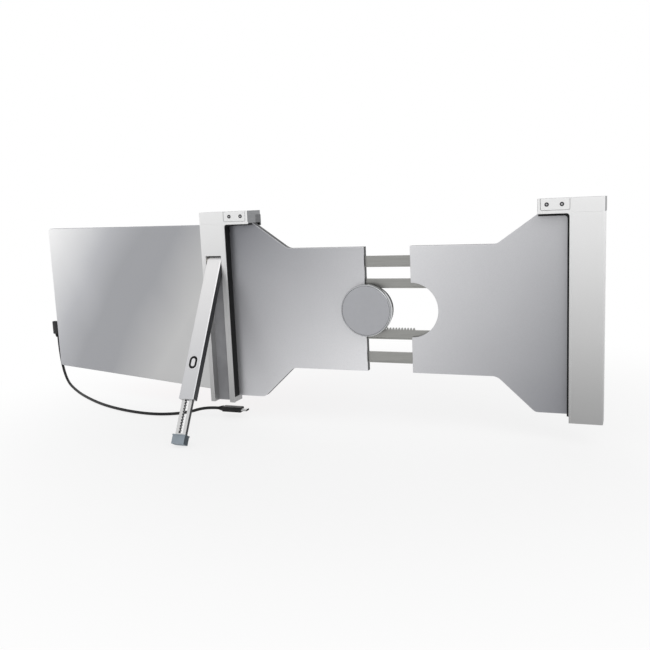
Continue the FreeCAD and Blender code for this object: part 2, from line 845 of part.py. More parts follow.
def make_leg_shell():
    x0 = bar_mid - leg_width / 2
    x1 = bar_mid + leg_width / 2
    body = joined([box(x0, x1, leg_front, leg_back, leg_end, leg_pivot_z),
                   cyl_x(leg_pivot_y, leg_pivot_z, leg_thickness / 2, x0, x1)])
    rear = lambda e: is_straight(e, "z") and e.Vertexes[0].Y > leg_back - 0.01
    body = eased(body, 1.5, rear)
    bore_top = leg_end + inner_engaged + inner_travel_in + 3
    reach = inner_width / 2 + inner_clear
    bore = box(bar_mid - reach, bar_mid + reach, leg_front + bore_front_wall, inner_back + inner_clear, leg_end - 1, bore_top)
    pin_hole = cyl_x(leg_pivot_y, leg_pivot_z, leg_pin_radius + pin_clear, x0 - 1, x1 + 1)
    well = obround_y(bar_mid, release_z, release_width + 2 * button_clear, release_length + 2 * button_clear,
                     inner_back, leg_back + 1)
    return body.cut(bore).cut(pin_hole).cut(well)


release_z = leg_end + button_rise
release_front = inner_back + inner_clear + release_travel + 0.2


def make_release_button():
    top = leg_back + release_proud
    cap = obround_y(bar_mid, release_z, release_width, release_length, release_front, top)
    return eased(cap, 0.5, lambda e: all(v.Y > top - 0.01 for v in e.Vertexes))


pawl_tip = 0.3


def make_pawl():
    left = bar_mid + inner_slot / 2 - tooth_depth - pawl_tip
    low = release_z + 1.0
    stem = box(left - 1.6, left, inner_front + release_travel, release_front, low, low + 3)
    return stem


def make_leaf_spring():
    z0 = release_z - 6
    z1 = release_z - 0.5
    middle = (z0 + z1) / 2
    y0 = leg_front + bore_front_wall
    y1 = release_front
    rise = 0.35
    x0 = bar_mid - 1.5
    points = [V(x0, y0, z0), V(x0, y0 + rise, z0), V(x0, y1, middle - 0.3), V(x0, y1, middle + 0.3),
              V(x0, y0 + rise, z1), V(x0, y0, z1), V(x0, y0, z1 - 0.5), V(x0, y1 - rise, middle), V(x0, y0, z0 + 0.5)]
    wire = Part.makePolygon(points + [points[0]])
    return Part.Face(wire).extrude(V(3, 0, 0))


def make_inner_leg():
    x0 = bar_mid - inner_width / 2
    x1 = bar_mid + inner_width / 2
    top = leg_end + inner_engaged
    body = box(x0, x1, inner_front, inner_back, inner_end, top)
    slot_top = top - 3.5
    slot = box(bar_mid - inner_slot / 2, bar_mid + inner_slot / 2, inner_front - 1, inner_back + 1, inner_end + 1.5, slot_top)
    body = body.cut(slot)
    edge = bar_mid + inner_slot / 2
    teeth = []
    count = int((slot_top - inner_end - 8) / tooth_pitch)
    for i in range(count):
        z = inner_end + 4 + i * tooth_pitch
        corners = [V(edge + 0.1, inner_front, z), V(edge - tooth_depth, inner_front, z + 0.2),
                   V(edge - tooth_depth, inner_front, z + 0.9), V(edge + 0.1, inner_front, z + 1.6)]
        wire = Part.makePolygon(corners + [corners[0]])
        teeth.append(Part.Face(wire).extrude(V(0, inner_thickness, 0)))
    return joined([body] + teeth)


def make_foot():
    x0 = bar_mid - foot_width / 2
    x1 = bar_mid + foot_width / 2
    y0 = inner_front + inner_thickness / 2 - foot_depth / 2
    block = box(x0, x1, y0, y0 + foot_depth, foot_end, inner_end)
    return eased(block, 1.2, lambda e: is_straight(e, "z"))


def make_leg_pin():
    return cyl_x(leg_pivot_y, leg_pivot_z, leg_pin_radius, bar_in + 1, bar_out - 1)


def make_leg_washers():
    thick = leg_side_clear - 0.1
    reach = leg_width / 2 + leg_side_clear
    rings = []
    for x0, x1 in ((bar_mid - reach, bar_mid - reach + thick), (bar_mid + reach - thick, bar_mid + reach)):
        ring = cyl_x(leg_pivot_y, leg_pivot_z, 4.0, x0, x1)
        rings.append(ring.cut(cyl_x(leg_pivot_y, leg_pivot_z, leg_pin_radius, x0 - 1, x1 + 1)))
    return rings


# Cable: straight runs joined by tangent arcs, swept by its round section
def cord_bends():
    points = [V(*p) for p in cord_route]
    bends = []
    for before, here, after in zip(points, points[1:], points[2:]):
        arriving = here.sub(before)
        leaving = after.sub(here)
        turn = arriving.getAngle(leaving)
        shorter = min(arriving.Length, leaving.Length)
        bends.append((here, arriving.normalize(), leaving.normalize(), turn, 0.45 * shorter))
    return points, bends


def make_cord():
    points, bends = cord_bends()
    edges = []
    start = points[0]
    for here, arriving, leaving, turn, reach in bends:
        radius = reach / math.tan(turn / 2)
        print("cable bend radius", round(radius, 1), "mm")
        entry = here.sub(V(arriving).multiply(reach))
        leave = here.add(V(leaving).multiply(reach))
        inward = V(leaving).sub(arriving).normalize()
        centre_gap = radius / math.cos(turn / 2)
        middle = here.add(V(inward).multiply(centre_gap - radius))
        edges.append(Part.LineSegment(start, entry).toShape())
        edges.append(Part.Arc(entry, middle, leave).toShape())
        start = leave
    edges.append(Part.LineSegment(start, points[-1]).toShape())
    path = Part.Wire(edges)
    first = points[1].sub(points[0])
    section = Part.Wire(Part.Circle(points[0], first, cord_diameter / 2).toShape())
    tube = path.makePipeShell([section], True, False)
    expected = math.pi * cord_diameter ** 2 / 4 * path.Length
    print("cable length", round(path.Length, 1), "mm, volume over section times length", round(tube.Volume / expected, 4))
    return tube


def make_angle_plug():
    z = port_heights[plug_port]
    x0 = at_u(outer_edge) + 0.2
    body = box(x0, x0 + plug_reach, at_v(port_v - plug_thickness / 2), at_v(port_v + plug_thickness / 2),
               z - plug_span / 2, z + plug_span / 2)
    body = eased(body, 1.2, lambda e: is_straight(e, "z") or is_straight(e, "x"))
    shell = obround_x(at_v(port_v), z, tongue_height, tongue_width, x0 - tongue_length, x0 + 0.5)
    return joined([body, shell])


def make_angle_relief():
    z = port_heights[plug_port] - plug_span / 2
    x = at_u(outer_edge) + 0.2 + plug_reach / 2 + 0.5
    y = at_v(port_v)
    cone = Part.makeCone(cord_diameter / 2 + 0.3, cord_diameter / 2 + 0.9, relief_length, V(x, y, z - relief_length))
    return cone


def make_straight_plug():
    x1, y, z = cord_route[-1]
    x1 = x1 - relief_length - 2
    body = box(x1 - straight_length, x1, y - straight_width / 2, y + straight_width / 2, z - straight_height / 2, z + straight_height / 2)
    body = eased(body, 1.5, lambda e: is_straight(e, "x"))
    tip = x1 - straight_length
    shell = Part.makeBox(tongue_length + 0.5, tongue_width, tongue_height, V(tip - tongue_length, y - tongue_width / 2, z - tongue_height / 2))
    shell = eased(shell, 1.0, lambda e: is_straight(e, "x"))
    return joined([body, shell])


def make_straight_relief():
    x1, y, z = cord_route[-1]
    return Part.makeCone(cord_diameter / 2 + 1.2, cord_diameter / 2 + 0.3, relief_length + 2, V(x1 - relief_length - 2, y, z), V(1, 0, 0))


def make_lid_rest():
    return cyl_y(0, 0, 14, bar_front - pad_thickness, bar_front)


bar_a = make_bar(True)
head_a = make_head(True)
head_b = make_head(False)
parts = {
    "bar_a": [bar_a],
    "bar_strip_a": [make_strip()],
    "head_a": [head_a],
    "head_plate_a": [make_head_plate()],
    "head_screws_a": make_head_screws(),
    "jaw_a": [make_jaw()],
    "hook_a": [make_hook(True)],
    "tray_a": [make_tray_a()],
    "cover_a": [make_cover_a()],
    "plate_screws_a": make_plate_screws(),
    "lid_pads_a": make_pads(),
    "rail_guides": make_guides(),
    "lid_rest_pad": [make_lid_rest()],
    "knob_axle": [make_axle()],
    "hinge_pins": make_hinge_pins(),
    "leg_pin": [make_leg_pin()],
    "leg_washers": make_leg_washers(),
    "bar_b": [mirrored(make_bar(False))],
    "bar_strip_b": [mirrored(make_strip())],
    "head_b": [mirrored(head_b)],
    "head_plate_b": [mirrored(make_head_plate())],
    "head_screws_b": [mirrored(s) for s in make_head_screws()],
    "jaw_b": [mirrored(make_jaw())],
    "hook_b": [mirrored(make_hook(False))],
    "tray_b": [make_tray_b()],
    "cover_b": [make_cover_b()],
    "plate_screws_b": [mirrored(s) for s in make_plate_screws()],
    "lid_pads_b": [mirrored(p) for p in make_pads()],
    "rail_top": [make_rail(*rail_spans[0])],
    "rail_upper": [make_rail(*rail_spans[1])],
    "rail_rack": [make_rack()],
    "rail_bottom": [make_rail(*rail_spans[2])],
    "rail_screws": make_rail_screws(),
    "knob_body": [make_knob()],
    "knob_cap": [make_knob_cap()],
    "pinion_gear": [make_pinion()],
    "knob_clip": [make_clip()],
    "display_back": [placed(make_display_back())],
    "display_bezel": [placed(make_bezel())],
    "screen_glass": [placed(make_glass())],
    "display_panel": [placed(make_panel())],
    "driver_board": [placed(make_board())],
    "port_sockets": [placed(s) for s in make_sockets()],
    "speakers": [placed(s) for s in make_speakers()],
    "hinge_sleeves": [placed(s) for s in make_sleeves()],
    "power_button": [placed(make_side_button(power_z, power_length))],
    "menu_button": [placed(make_side_button(menu_z, menu_length))],
    "leg_shell": [leg_placed(make_leg_shell())],
    "release_button": [leg_placed(make_release_button())],
    "latch_pawl": [leg_placed(make_pawl())],
    "button_spring": [leg_placed(make_leaf_spring())],
    "inner_leg": [leg_placed(make_inner_leg())],
    "leg_foot": [leg_placed(make_foot())],
    "cable": [make_cord()],
    "angle_plug": [placed(make_angle_plug())],
    "angle_relief": [placed(make_angle_relief())],
    "straight_plug": [make_straight_plug()],
    "straight_relief": [make_straight_relief()],
}

os.makedirs("parts", exist_ok=True)
for name, solids in parts.items():
    shape = solids[0] if len(solids) == 1 else Part.makeCompound(solids)
    if not shape.isValid() or any(s.Volume <= 0 for s in shape.Solids) or not shape.Solids:
        print("check this node:", name, "solids", len(shape.Solids), "valid", shape.isValid())
    shape.exportStep(os.path.join("parts", name + ".step"))
print(len(parts), "nodes written")
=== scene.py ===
"""Laptop screen extender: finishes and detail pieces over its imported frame, in metres."""
import math

import bmesh
import bpy
from bpy.props import FloatProperty, FloatVectorProperty, PointerProperty
from mathutils import Matrix, Vector


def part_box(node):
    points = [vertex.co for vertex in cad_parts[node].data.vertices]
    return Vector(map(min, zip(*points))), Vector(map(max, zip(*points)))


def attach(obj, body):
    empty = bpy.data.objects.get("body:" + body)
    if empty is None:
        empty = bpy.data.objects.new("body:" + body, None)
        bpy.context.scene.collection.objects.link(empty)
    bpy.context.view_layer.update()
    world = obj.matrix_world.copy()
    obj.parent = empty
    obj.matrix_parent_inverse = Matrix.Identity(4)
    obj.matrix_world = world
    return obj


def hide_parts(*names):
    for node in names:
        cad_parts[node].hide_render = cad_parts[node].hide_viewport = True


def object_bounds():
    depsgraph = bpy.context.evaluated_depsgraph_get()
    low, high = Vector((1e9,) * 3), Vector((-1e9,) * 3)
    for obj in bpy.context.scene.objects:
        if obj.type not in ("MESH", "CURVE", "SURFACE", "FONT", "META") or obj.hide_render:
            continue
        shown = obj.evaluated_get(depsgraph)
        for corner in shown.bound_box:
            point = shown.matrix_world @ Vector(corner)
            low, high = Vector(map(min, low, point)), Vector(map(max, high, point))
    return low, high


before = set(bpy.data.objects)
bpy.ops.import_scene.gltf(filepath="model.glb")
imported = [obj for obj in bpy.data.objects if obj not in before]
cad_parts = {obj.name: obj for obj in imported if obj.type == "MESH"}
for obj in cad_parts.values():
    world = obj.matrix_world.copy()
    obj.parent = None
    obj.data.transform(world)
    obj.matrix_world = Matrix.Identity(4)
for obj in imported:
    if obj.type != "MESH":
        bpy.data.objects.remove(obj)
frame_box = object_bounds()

bl_info = {
    "name": "Laptop Screen Extender",
    "version": (1, 0, 0),
    "blender": (4, 5, 0),
    "location": "View3D > Sidebar > Extender",
    "description": "Builds the detail pieces, finishes and stage of a laptop screen extender",
    "category": "Add Mesh",
}

MM = 0.001

# The display as it is before it swings forward about its hinge
HINGE = Vector((0.184, -0.005, 0.0))
SWING = math.radians(16)
DISPLAY_MIDDLE = HINGE.y + 0.0015
DISPLAY_EDGE = 0.501
PORT_HEIGHT = -0.045
LAMP_HEIGHT = 0.050
SCREEN_LEFT = 0.18505
SCREEN_TOP = 0.0857
SCREEN_WIDTH = 0.3099
SCREEN_HEIGHT = 0.1743
FRAME_LINE = 0.00115

# The leg as it is before it turns out about its pivot
LEG_PIVOT = Vector((0.0, 0.0145, 0.053))
LEG_ANGLE = math.radians(29)
RELEASE = Vector((0.173, 0.019, -0.065))
FOOT_LOW = Vector((0.1652, 0.00905, -0.1516))
FOOT_HIGH = Vector((0.1808, 0.01855, -0.1415))

BAR_FOOT = -0.105
BAR_TOP = 0.106
KNOB_BACK = 0.0093
KNOB_FRONT = 0.0177
HEAD_SEAT = 0.01992
MOUTH_LENGTH = 0.0065
# A grey sheet of painted shade on the recess floor
RECESS_SHADE_SHEET = ((0.1637, 0.0097, -0.1048), (0.1823, 0.00985, 0.0588))
# A black band of painted shade in the gap beside the display, across and in depth
HINGE_GAP_SHADE = ((0.1698, 0.1874), (0.00082, 0.00102))
FLOOR_GAP = 0.0002
VIEW_CENTRE = Vector((0.0527, 0.0, -0.0184))
BODIES = {"a": "base_half", "b": "sliding_half"}

# A piece made about Z turns to face the rear, +Y, the display's outer side, +X, or the other way, -X
FACING_REAR = Matrix.Rotation(math.radians(-90), 4, "X")
FACING_OUT = Matrix.Rotation(math.radians(90), 4, "Y")
FACING_IN = Matrix.Rotation(math.radians(-90), 4, "Y")
# The sliding half mirrors the base half
OTHER_HALF = Matrix.Translation((-0.043, 0, 0)) @ Matrix.Scale(-1, 4, (1, 0, 0))

CABLE_ROUTE_MM = (
    (495.4, -94.3, -58.0),
    (495.4, -94.3, -86.0),
    (481.0, -86.0, -119.0),
    (447.0, -64.0, -126.6),
    (403.0, -33.0, -126.6),
    (354.0, -5.0, -126.6),
    (302.0, 12.5, -126.6),
    (262.0, 15.5, -126.6),
    (232.0, 3.0, -126.0),
    (213.0, -9.0, -121.0),
    (195.0, -9.0, -121.0),
)


def about(point, turn):
    """A turn about a point instead of the origin."""
    return Matrix.Translation(point) @ turn @ Matrix.Translation(-point)


ON_DISPLAY = about(HINGE, Matrix.Rotation(-SWING, 4, "Z"))
ON_LEG = about(LEG_PIVOT, Matrix.Rotation(LEG_ANGLE, 4, "X"))


def shade(code):
    """A hex colour as the linear values that the shader takes."""
    parts = [int(code[i:i + 2], 16) / 255 for i in (0, 2, 4)]
    return tuple(p / 12.92 if p <= 0.04045 else ((p + 0.055) / 1.055) ** 2.4 for p in parts)


def tinted(rgb, by):
    """A colour made darker or lighter by a factor."""
    return tuple(min(1.0, c * by) for c in rgb)


def length(name, description, default):
    return FloatProperty(name=name, description=description, default=default, min=0.0, subtype="DISTANCE",
                         unit="LENGTH")


def angle(name, description, degrees):
    return FloatProperty(name=name, description=description, default=math.radians(degrees), subtype="ANGLE",
                         unit="ROTATION")


def power(name, description, watts):
    return FloatProperty(name=name, description=description, default=watts, min=0.0, subtype="POWER",
                         unit="POWER")


def colour(name, description, code):
    return FloatVectorProperty(name=name, description=description, default=shade(code), min=0.0, max=1.0,
                               size=3, subtype="COLOR")


class ExtenderSizes(bpy.types.PropertyGroup):
    """Sizes of the detail pieces."""
    knob_radius: length("Knob radius", "Radius of the round knob", 27.0 * MM)
    knob_groove: length("Knob groove", "Width of the groove round the knob's face", 0.25 * MM)
    knob_land: length("Knob land", "Width of the bright ring outside the groove", 0.5 * MM)
    screw_radius: length("Screw radius", "Radius of a head screw", 1.95 * MM)
    socket_radius: length("Socket radius", "Radius of the hexagon socket in a screw", 1.0 * MM)
    ring_width: length("Ring width", "Width of the black collar on the release button", 2.3 * MM)
    trim_width: length("Trim width", "Width of the pale trim round the release button", 1.1 * MM)
    release_width: length("Button width", "Width of the release button", 9.0 * MM)
    release_length: length("Button length", "Length of the release button", 13.5 * MM)
    # The liner is a black strip of painted shade under the head and beside the bar
    liner_width: length("Shade strip width", "Thickness of the dark liner under the head", 2.0 * MM)
    corner_radius: length("Corner radius", "Rounding where the head meets the bar", 2.8 * MM)
    cable_width: length("Cable width", "Diameter of the cable", 3.5 * MM)
    edge_round: length("Edge round", "Rounding that metal edges show", 0.7 * MM)


class ExtenderColours(bpy.types.PropertyGroup):
    """Colours of the finishes."""
    # The bars' and leg's runs from upper to lower end are painted light and shade
    silver_high: colour("Silver, upper", "Bars, upper end", "F6F6F6")
    silver_low: colour("Silver, lower", "Bars, lower end", "A8A8A8")
    leg_high: colour("Leg, upper", "Leg, upper end", "EEEDED")
    leg_low: colour("Leg, lower", "Leg, lower end", "C4C5C8")
    # Painted shade on the side walls of the leg and of the inner fork
    side: colour("Leg sides", "Dark side walls of the leg", "38393B")
    # Painted shade on the heads' ends and tops
    end: colour("Head ends", "Cut ends and tops of the heads", "8A8B8D")
    # The plates' light and deep tones are painted light and shade, run aslant over each plate
    plate_light: colour("Plate, light", "Plates, lighter side of the satin finish", "EFEFF1")
    plate_deep: colour("Plate, deep", "Plates, deeper side of the satin finish", "8A8B90")
    # The display back's run of tones is painted light and shade
    shell_light: colour("Shell, light", "Display back, lighter corner", "FFFFFF")
    shell_middle: colour("Shell, middle", "Display back, next to the lighter corner", "BDBEC2")
    shell_deep: colour("Shell, deep", "Display back, deepest band", "A3A4A8")
    shell_end: colour("Shell, end", "Display back, beyond the deepest band", "C8C8C8")
    bezel: colour("Bezel", "Display's front frame", "E6E9ED")
    # Painted shade on the display's side walls, top and bottom
    display_side_shade: colour("Display sides", "Side walls of the display", "77797F")
    dark: colour("Dark plastic", "Plate trays and inner walls", "333436")
    # The liners are black strips of painted shade beside the plates; the jaws and cable are black
    black: colour("Black rubber", "Jaws, liners and cable", "151516")
    rail: colour("Rail steel", "Rails between the plates", "9E9E9B")
    face: colour("Knob face", "Satin face of the knob", "AFB0B4")
    rim: colour("Knob rim", "Polished rim of the knob", "9FA0A2")
    foot: colour("Foot", "Rubber foot of the leg", "9AA5AE")
    strip: colour("Bar strip", "Strips in the bars' front faces, and the lid pads", "9B9DA1")
    hook: colour("Hook", "Hooks at the bars' feet", "DADADA")


class ExtenderStage(bpy.types.PropertyGroup):
    """Camera, lamps and floor."""
    azimuth: angle("Azimuth", "Direction the camera looks from", 202.2)
    elevation: angle("Elevation", "Height angle of the camera", 8.9)
    roll: angle("Roll", "Tilt of the picture", -2.5)
    distance: length("Distance", "From the camera to its target", 842.8 * MM)
    lens: FloatProperty(name="Lens", description="Focal length in millimetres", default=43.43, min=1.0)
    floor: colour("Floor", "Pale floor", "F7F7F7")
    room: FloatProperty(name="Room light", description="Strength of the even light", default=0.62, min=0.0)
    key: power("Key lamp", "Power of the large soft lamp", 9.0)
    fill: power("Fill lamp", "Power of the second soft lamp", 4.0)


class Nodes:
    """The nodes of one tree, linked as they are made."""

    def __init__(self, tree):
        self.tree = tree
        self.tree.nodes.clear()

    def add(self, kind, **settings):
        node = self.tree.nodes.new(kind)
        for name, value in settings.items():
            setattr(node, name, value)
        return node

    def feed(self, socket, value):
        """A link where value is another node's output, and a plain value otherwise."""
        if isinstance(value, bpy.types.NodeSocket):
            self.tree.links.new(value, socket)
        else:
            socket.default_value = value

    def math(self, operation, *values, clamp=False):
        node = self.add("ShaderNodeMath", operation=operation, use_clamp=clamp)
        for socket, value in zip(node.inputs, values):
            self.feed(socket, value)
        return node.outputs[0]

    def spread(self, value, low, high, to_low=0.0, to_high=1.0, smooth=False):
        """The value's range from low to high, spread over another range and held at its ends."""
        node = self.add("ShaderNodeMapRange", interpolation_type="SMOOTHSTEP" if smooth else "LINEAR")
        for socket, entry in zip(node.inputs, (value, low, high, to_low, to_high)):
            self.feed(socket, entry)
        return node.outputs["Result"]

    def reach(self, first, second):
        """How far a point lies from an axis, from its two coordinates across that axis."""
        squares = [self.math("MULTIPLY", value, value) for value in (first, second)]
        return self.math("SQRT", self.math("ADD", *squares))

    def looked_at(self):
        """1 for what the camera sees, straight, mirrored or through glass, and 0 for light on the object."""
        paths = self.add("ShaderNodeLightPath").outputs
        direct = self.math("MAXIMUM", paths["Is Camera Ray"], paths["Is Glossy Ray"])
        return self.math("MAXIMUM", direct, paths["Is Transmission Ray"])


class Finish(Nodes):
    """A material put together from nodes, on the object's own coordinates."""

    def __init__(self, name, **sockets):
        self.material = bpy.data.materials.new(name)
        self.material.use_nodes = True
        super().__init__(self.material.node_tree)
        self.out = self.add("ShaderNodeOutputMaterial")
        self.skin = self.add("ShaderNodeBsdfPrincipled")
        self.feed(self.out.inputs["Surface"], self.skin.outputs["BSDF"])
        self.place = self.add("ShaderNodeTexCoord").outputs["Object"]
        for socket, value in sockets.items():
            self.skin.inputs[socket.replace("_", " ")].default_value = value

    def mapped(self, scale=(1, 1, 1), turn=(0, 0, 0), source=None):
        node = self.add("ShaderNodeMapping")
        self.feed(node.inputs["Vector"], source or self.place)
        node.inputs["Scale"].default_value = scale
        node.inputs["Rotation"].default_value = turn
        return node.outputs["Vector"]

    def noise(self, scale, detail=2.0, source=None):
        node = self.add("ShaderNodeTexNoise")
        self.feed(node.inputs["Vector"], source or self.place)
        node.inputs["Scale"].default_value = scale
        node.inputs["Detail"].default_value = detail
        return node.outputs["Fac"]

    def mix(self, factor, first, second, kind="MIX"):
        node = self.add("ShaderNodeMix", data_type="RGBA", blend_type=kind)
        self.feed(node.inputs["Factor"], factor)
        self.tint(node.inputs["A"], first)
        self.tint(node.inputs["B"], second)
        return node.outputs["Result"]

    def tint(self, socket, value):
        """A colour socket fed with a node's output or with three values."""
        self.feed(socket, value if isinstance(value, bpy.types.NodeSocket) else (*value, 1))

    def wall_light_and_shade(self, base, name, tone):
        """The base colour with another tone, streaked, on faces whose own normal runs along an axis of the
        object: painted shade on side walls, and painted light on the black jaws' walls.
        """
        if tone is None:
            return base
        turn = self.add("ShaderNodeVectorTransform", vector_type="NORMAL", convert_from="WORLD",
                        convert_to="OBJECT")
        self.feed(turn.inputs[0], self.add("ShaderNodeNewGeometry").outputs["True Normal"])
        facing = self.math("ABSOLUTE", self.axis(name, turn.outputs[0]))
        streak = self.noise(1.0, 3.0, self.mapped((900, 60, 900)))
        streaked_light_and_shade = self.mix(self.spread(streak, 0.3, 0.7), tinted(tone, 0.92), tinted(tone, 1.08))
        return self.mix(self.spread(facing, 0.75, 0.85), base, streaked_light_and_shade)

    def run(self, factor, tones):
        """A colour ramp through tones, each (place, colour)."""
        node = self.add("ShaderNodeValToRGB")
        self.feed(node.inputs["Fac"], factor)
        band = node.color_ramp.elements
        for entry, (at, tone) in zip(band, (tones[0], tones[-1])):
            entry.position, entry.color = at, (*tone, 1)
        for at, tone in tones[1:-1]:
            band.new(at).color = (*tone, 1)
        return node.outputs["Color"]

    def bump(self, height, distance, strength=1.0, normal=None):
        node = self.add("ShaderNodeBump")
        self.feed(node.inputs["Height"], height)
        node.inputs["Distance"].default_value = distance
        node.inputs["Strength"].default_value = strength
        if normal is not None:
            self.feed(node.inputs["Normal"], normal)
        self.feed(self.skin.inputs["Normal"], node.outputs["Normal"])

    def rounded(self, radius):
        node = self.add("ShaderNodeBevel", samples=4)
        node.inputs["Radius"].default_value = radius
        return node.outputs["Normal"]

    def edges(self, normal):
        """1 where the rounded normal leaves the face's own, at an edge."""
        plain = self.add("ShaderNodeNewGeometry").outputs["Normal"]
        node = self.add("ShaderNodeVectorMath", operation="DOT_PRODUCT")
        self.feed(node.inputs[0], normal)
        self.feed(node.inputs[1], plain)
        return self.spread(node.outputs["Value"], 0.995, 0.85)

    def edge_highlight(self, base, normal, share, tone):
        """The base colour with a lighter tone along the rounded edges: a painted highlight."""
        return self.mix(self.math("MULTIPLY", self.edges(normal), share), base, tone)

    def axis(self, name, source=None):
        node = self.add("ShaderNodeSeparateXYZ")
        self.feed(node.inputs["Vector"], source or self.place)
        return node.outputs[name]

    def colour(self, value):
        self.tint(self.skin.inputs["Base Color"], value)

    def rough(self, value, low, high):
        self.feed(self.skin.inputs["Roughness"], self.spread(value, 0.3, 0.7, low, high))


def satin_metal(name, tones, blend, metallic=0.75, sides=None, cap_shade=None):
    """Blasted and anodised aluminium: a soft run of tones (painted light and shade on the bars, leg, plates
    and display back), fine grain, rounded edges with a painted highlight, and painted shade on side walls
    and caps where tones are given.
    """
    made = Finish(name, Metallic=metallic)
    drift = made.noise(9.0, 2.0)
    factor = made.math("ADD", blend(made), made.spread(drift, 0.3, 0.7, -0.025, 0.025), clamp=True)
    base = made.run(factor, tones)
    fine = made.noise(1600.0, 3.0)
    base = made.mix(made.spread(fine, 0.35, 0.65, 0.0, 0.06), base, tinted(tones[0][1], 0.8))
    normal = made.rounded(bpy.context.scene.extender_sizes.edge_round)
    base = made.edge_highlight(base, normal, 0.55, tinted(tones[-1][1], 1.15))
    base = made.wall_light_and_shade(base, "X", sides)
    base = made.wall_light_and_shade(base, "Z", cap_shade)
    made.colour(base)
    made.rough(fine, 0.34, 0.46)
    made.bump(fine, 0.012 * MM, 0.5, normal)
    return made.material


def upright(low, high):
    """A run of tone from the foot, 0, to the top, 1; on the bars and leg it is painted light and shade."""
    return lambda made: made.spread(made.axis("Z"), low, high)


def aslant(x, z, start, end):
    """A run of tone along a slant in the plane of the plates: painted light and shade on the plates and the
    display back.
    """
    def blend(made):
        across = made.math("MULTIPLY", made.axis("X"), x)
        up = made.math("MULTIPLY", made.axis("Z"), z)
        return made.spread(made.math("ADD", across, up), start, end)
    return blend


def moulded(name, base, low=0.45, high=0.62, grain=900.0, depth=0.03, edge_highlight=1.35, shine=0.5, sides=None):
    """Moulded plastic or rubber: fine spark texture, slight tone changes, paler edges that are a painted
    highlight, and a painted tone on side walls where given.
    """
    made = Finish(name, Specular_IOR_Level=shine)
    fine = made.noise(grain, 4.0)
    broad = made.noise(60.0, 2.0)
    tone = made.mix(made.spread(broad, 0.3, 0.7), tinted(base, 0.88), tinted(base, 1.1))
    normal = made.rounded(0.35 * MM)
    tone = made.edge_highlight(tone, normal, 0.4, tinted(base, edge_highlight))
    tone = made.wall_light_and_shade(tone, "X", sides)
    made.colour(tone)
    made.rough(fine, low, high)
    made.bump(fine, depth * MM, 0.6, normal)
    return made.material


def brushed(name, base, along="X", low=0.28, high=0.44, sides=None):
    """Drawn or ground metal with fine lines along one axis, edges with a painted highlight, and painted
    shade on side walls where a tone is given.
    """
    scale = {"X": (40, 2600, 2600), "Z": (2600, 2600, 40)}[along]
    made = Finish(name, Metallic=0.85)
    lines = made.noise(1.0, 3.0, made.mapped(scale))
    tone = made.mix(made.spread(lines, 0.3, 0.7), tinted(base, 0.86), tinted(base, 1.08))
    normal = made.rounded(0.3 * MM)
    tone = made.edge_highlight(tone, normal, 0.5, tinted(base, 1.35))
    tone = made.wall_light_and_shade(tone, "X", sides)
    made.colour(tone)
    made.rough(lines, low, high)
    made.bump(lines, 0.01 * MM, 0.5, normal)
    return made.material


def turned_metal(name, base, low, high, pitch, depth, metallic, lines, bands=()):
    """Metal turned on a lathe: fine rings about the knob's axle, bands of painted reflection and shade along
    it where given, and edges with a painted highlight.
    """
    made = Finish(name, Metallic=metallic)
    radius = made.reach(made.axis("X"), made.axis("Z"))
    rings = made.math("SINE", made.math("MULTIPLY", radius, 2 * math.pi / pitch))
    soft = made.noise(220.0, 2.0)
    tone = made.mix(made.spread(soft, 0.3, 0.7), tinted(base, 0.985), tinted(base, 1.015))
    tone = made.mix(made.spread(rings, -1.0, 1.0, 0.0, lines), tone, tinted(base, 0.85))
    # Bands of painted reflection and shade from the rim's back to its front
    if bands:
        along = made.run(made.spread(made.axis("Y"), KNOB_BACK, KNOB_FRONT), bands)
        tone = made.mix(0.15, along, tone)
    normal = made.rounded(0.35 * MM)
    tone = made.edge_highlight(tone, normal, 0.8, tinted(base, 1.6))
    made.colour(tone)
    made.rough(soft, low, high)
    made.bump(rings, depth * MM, 0.6, normal)
    return made.material


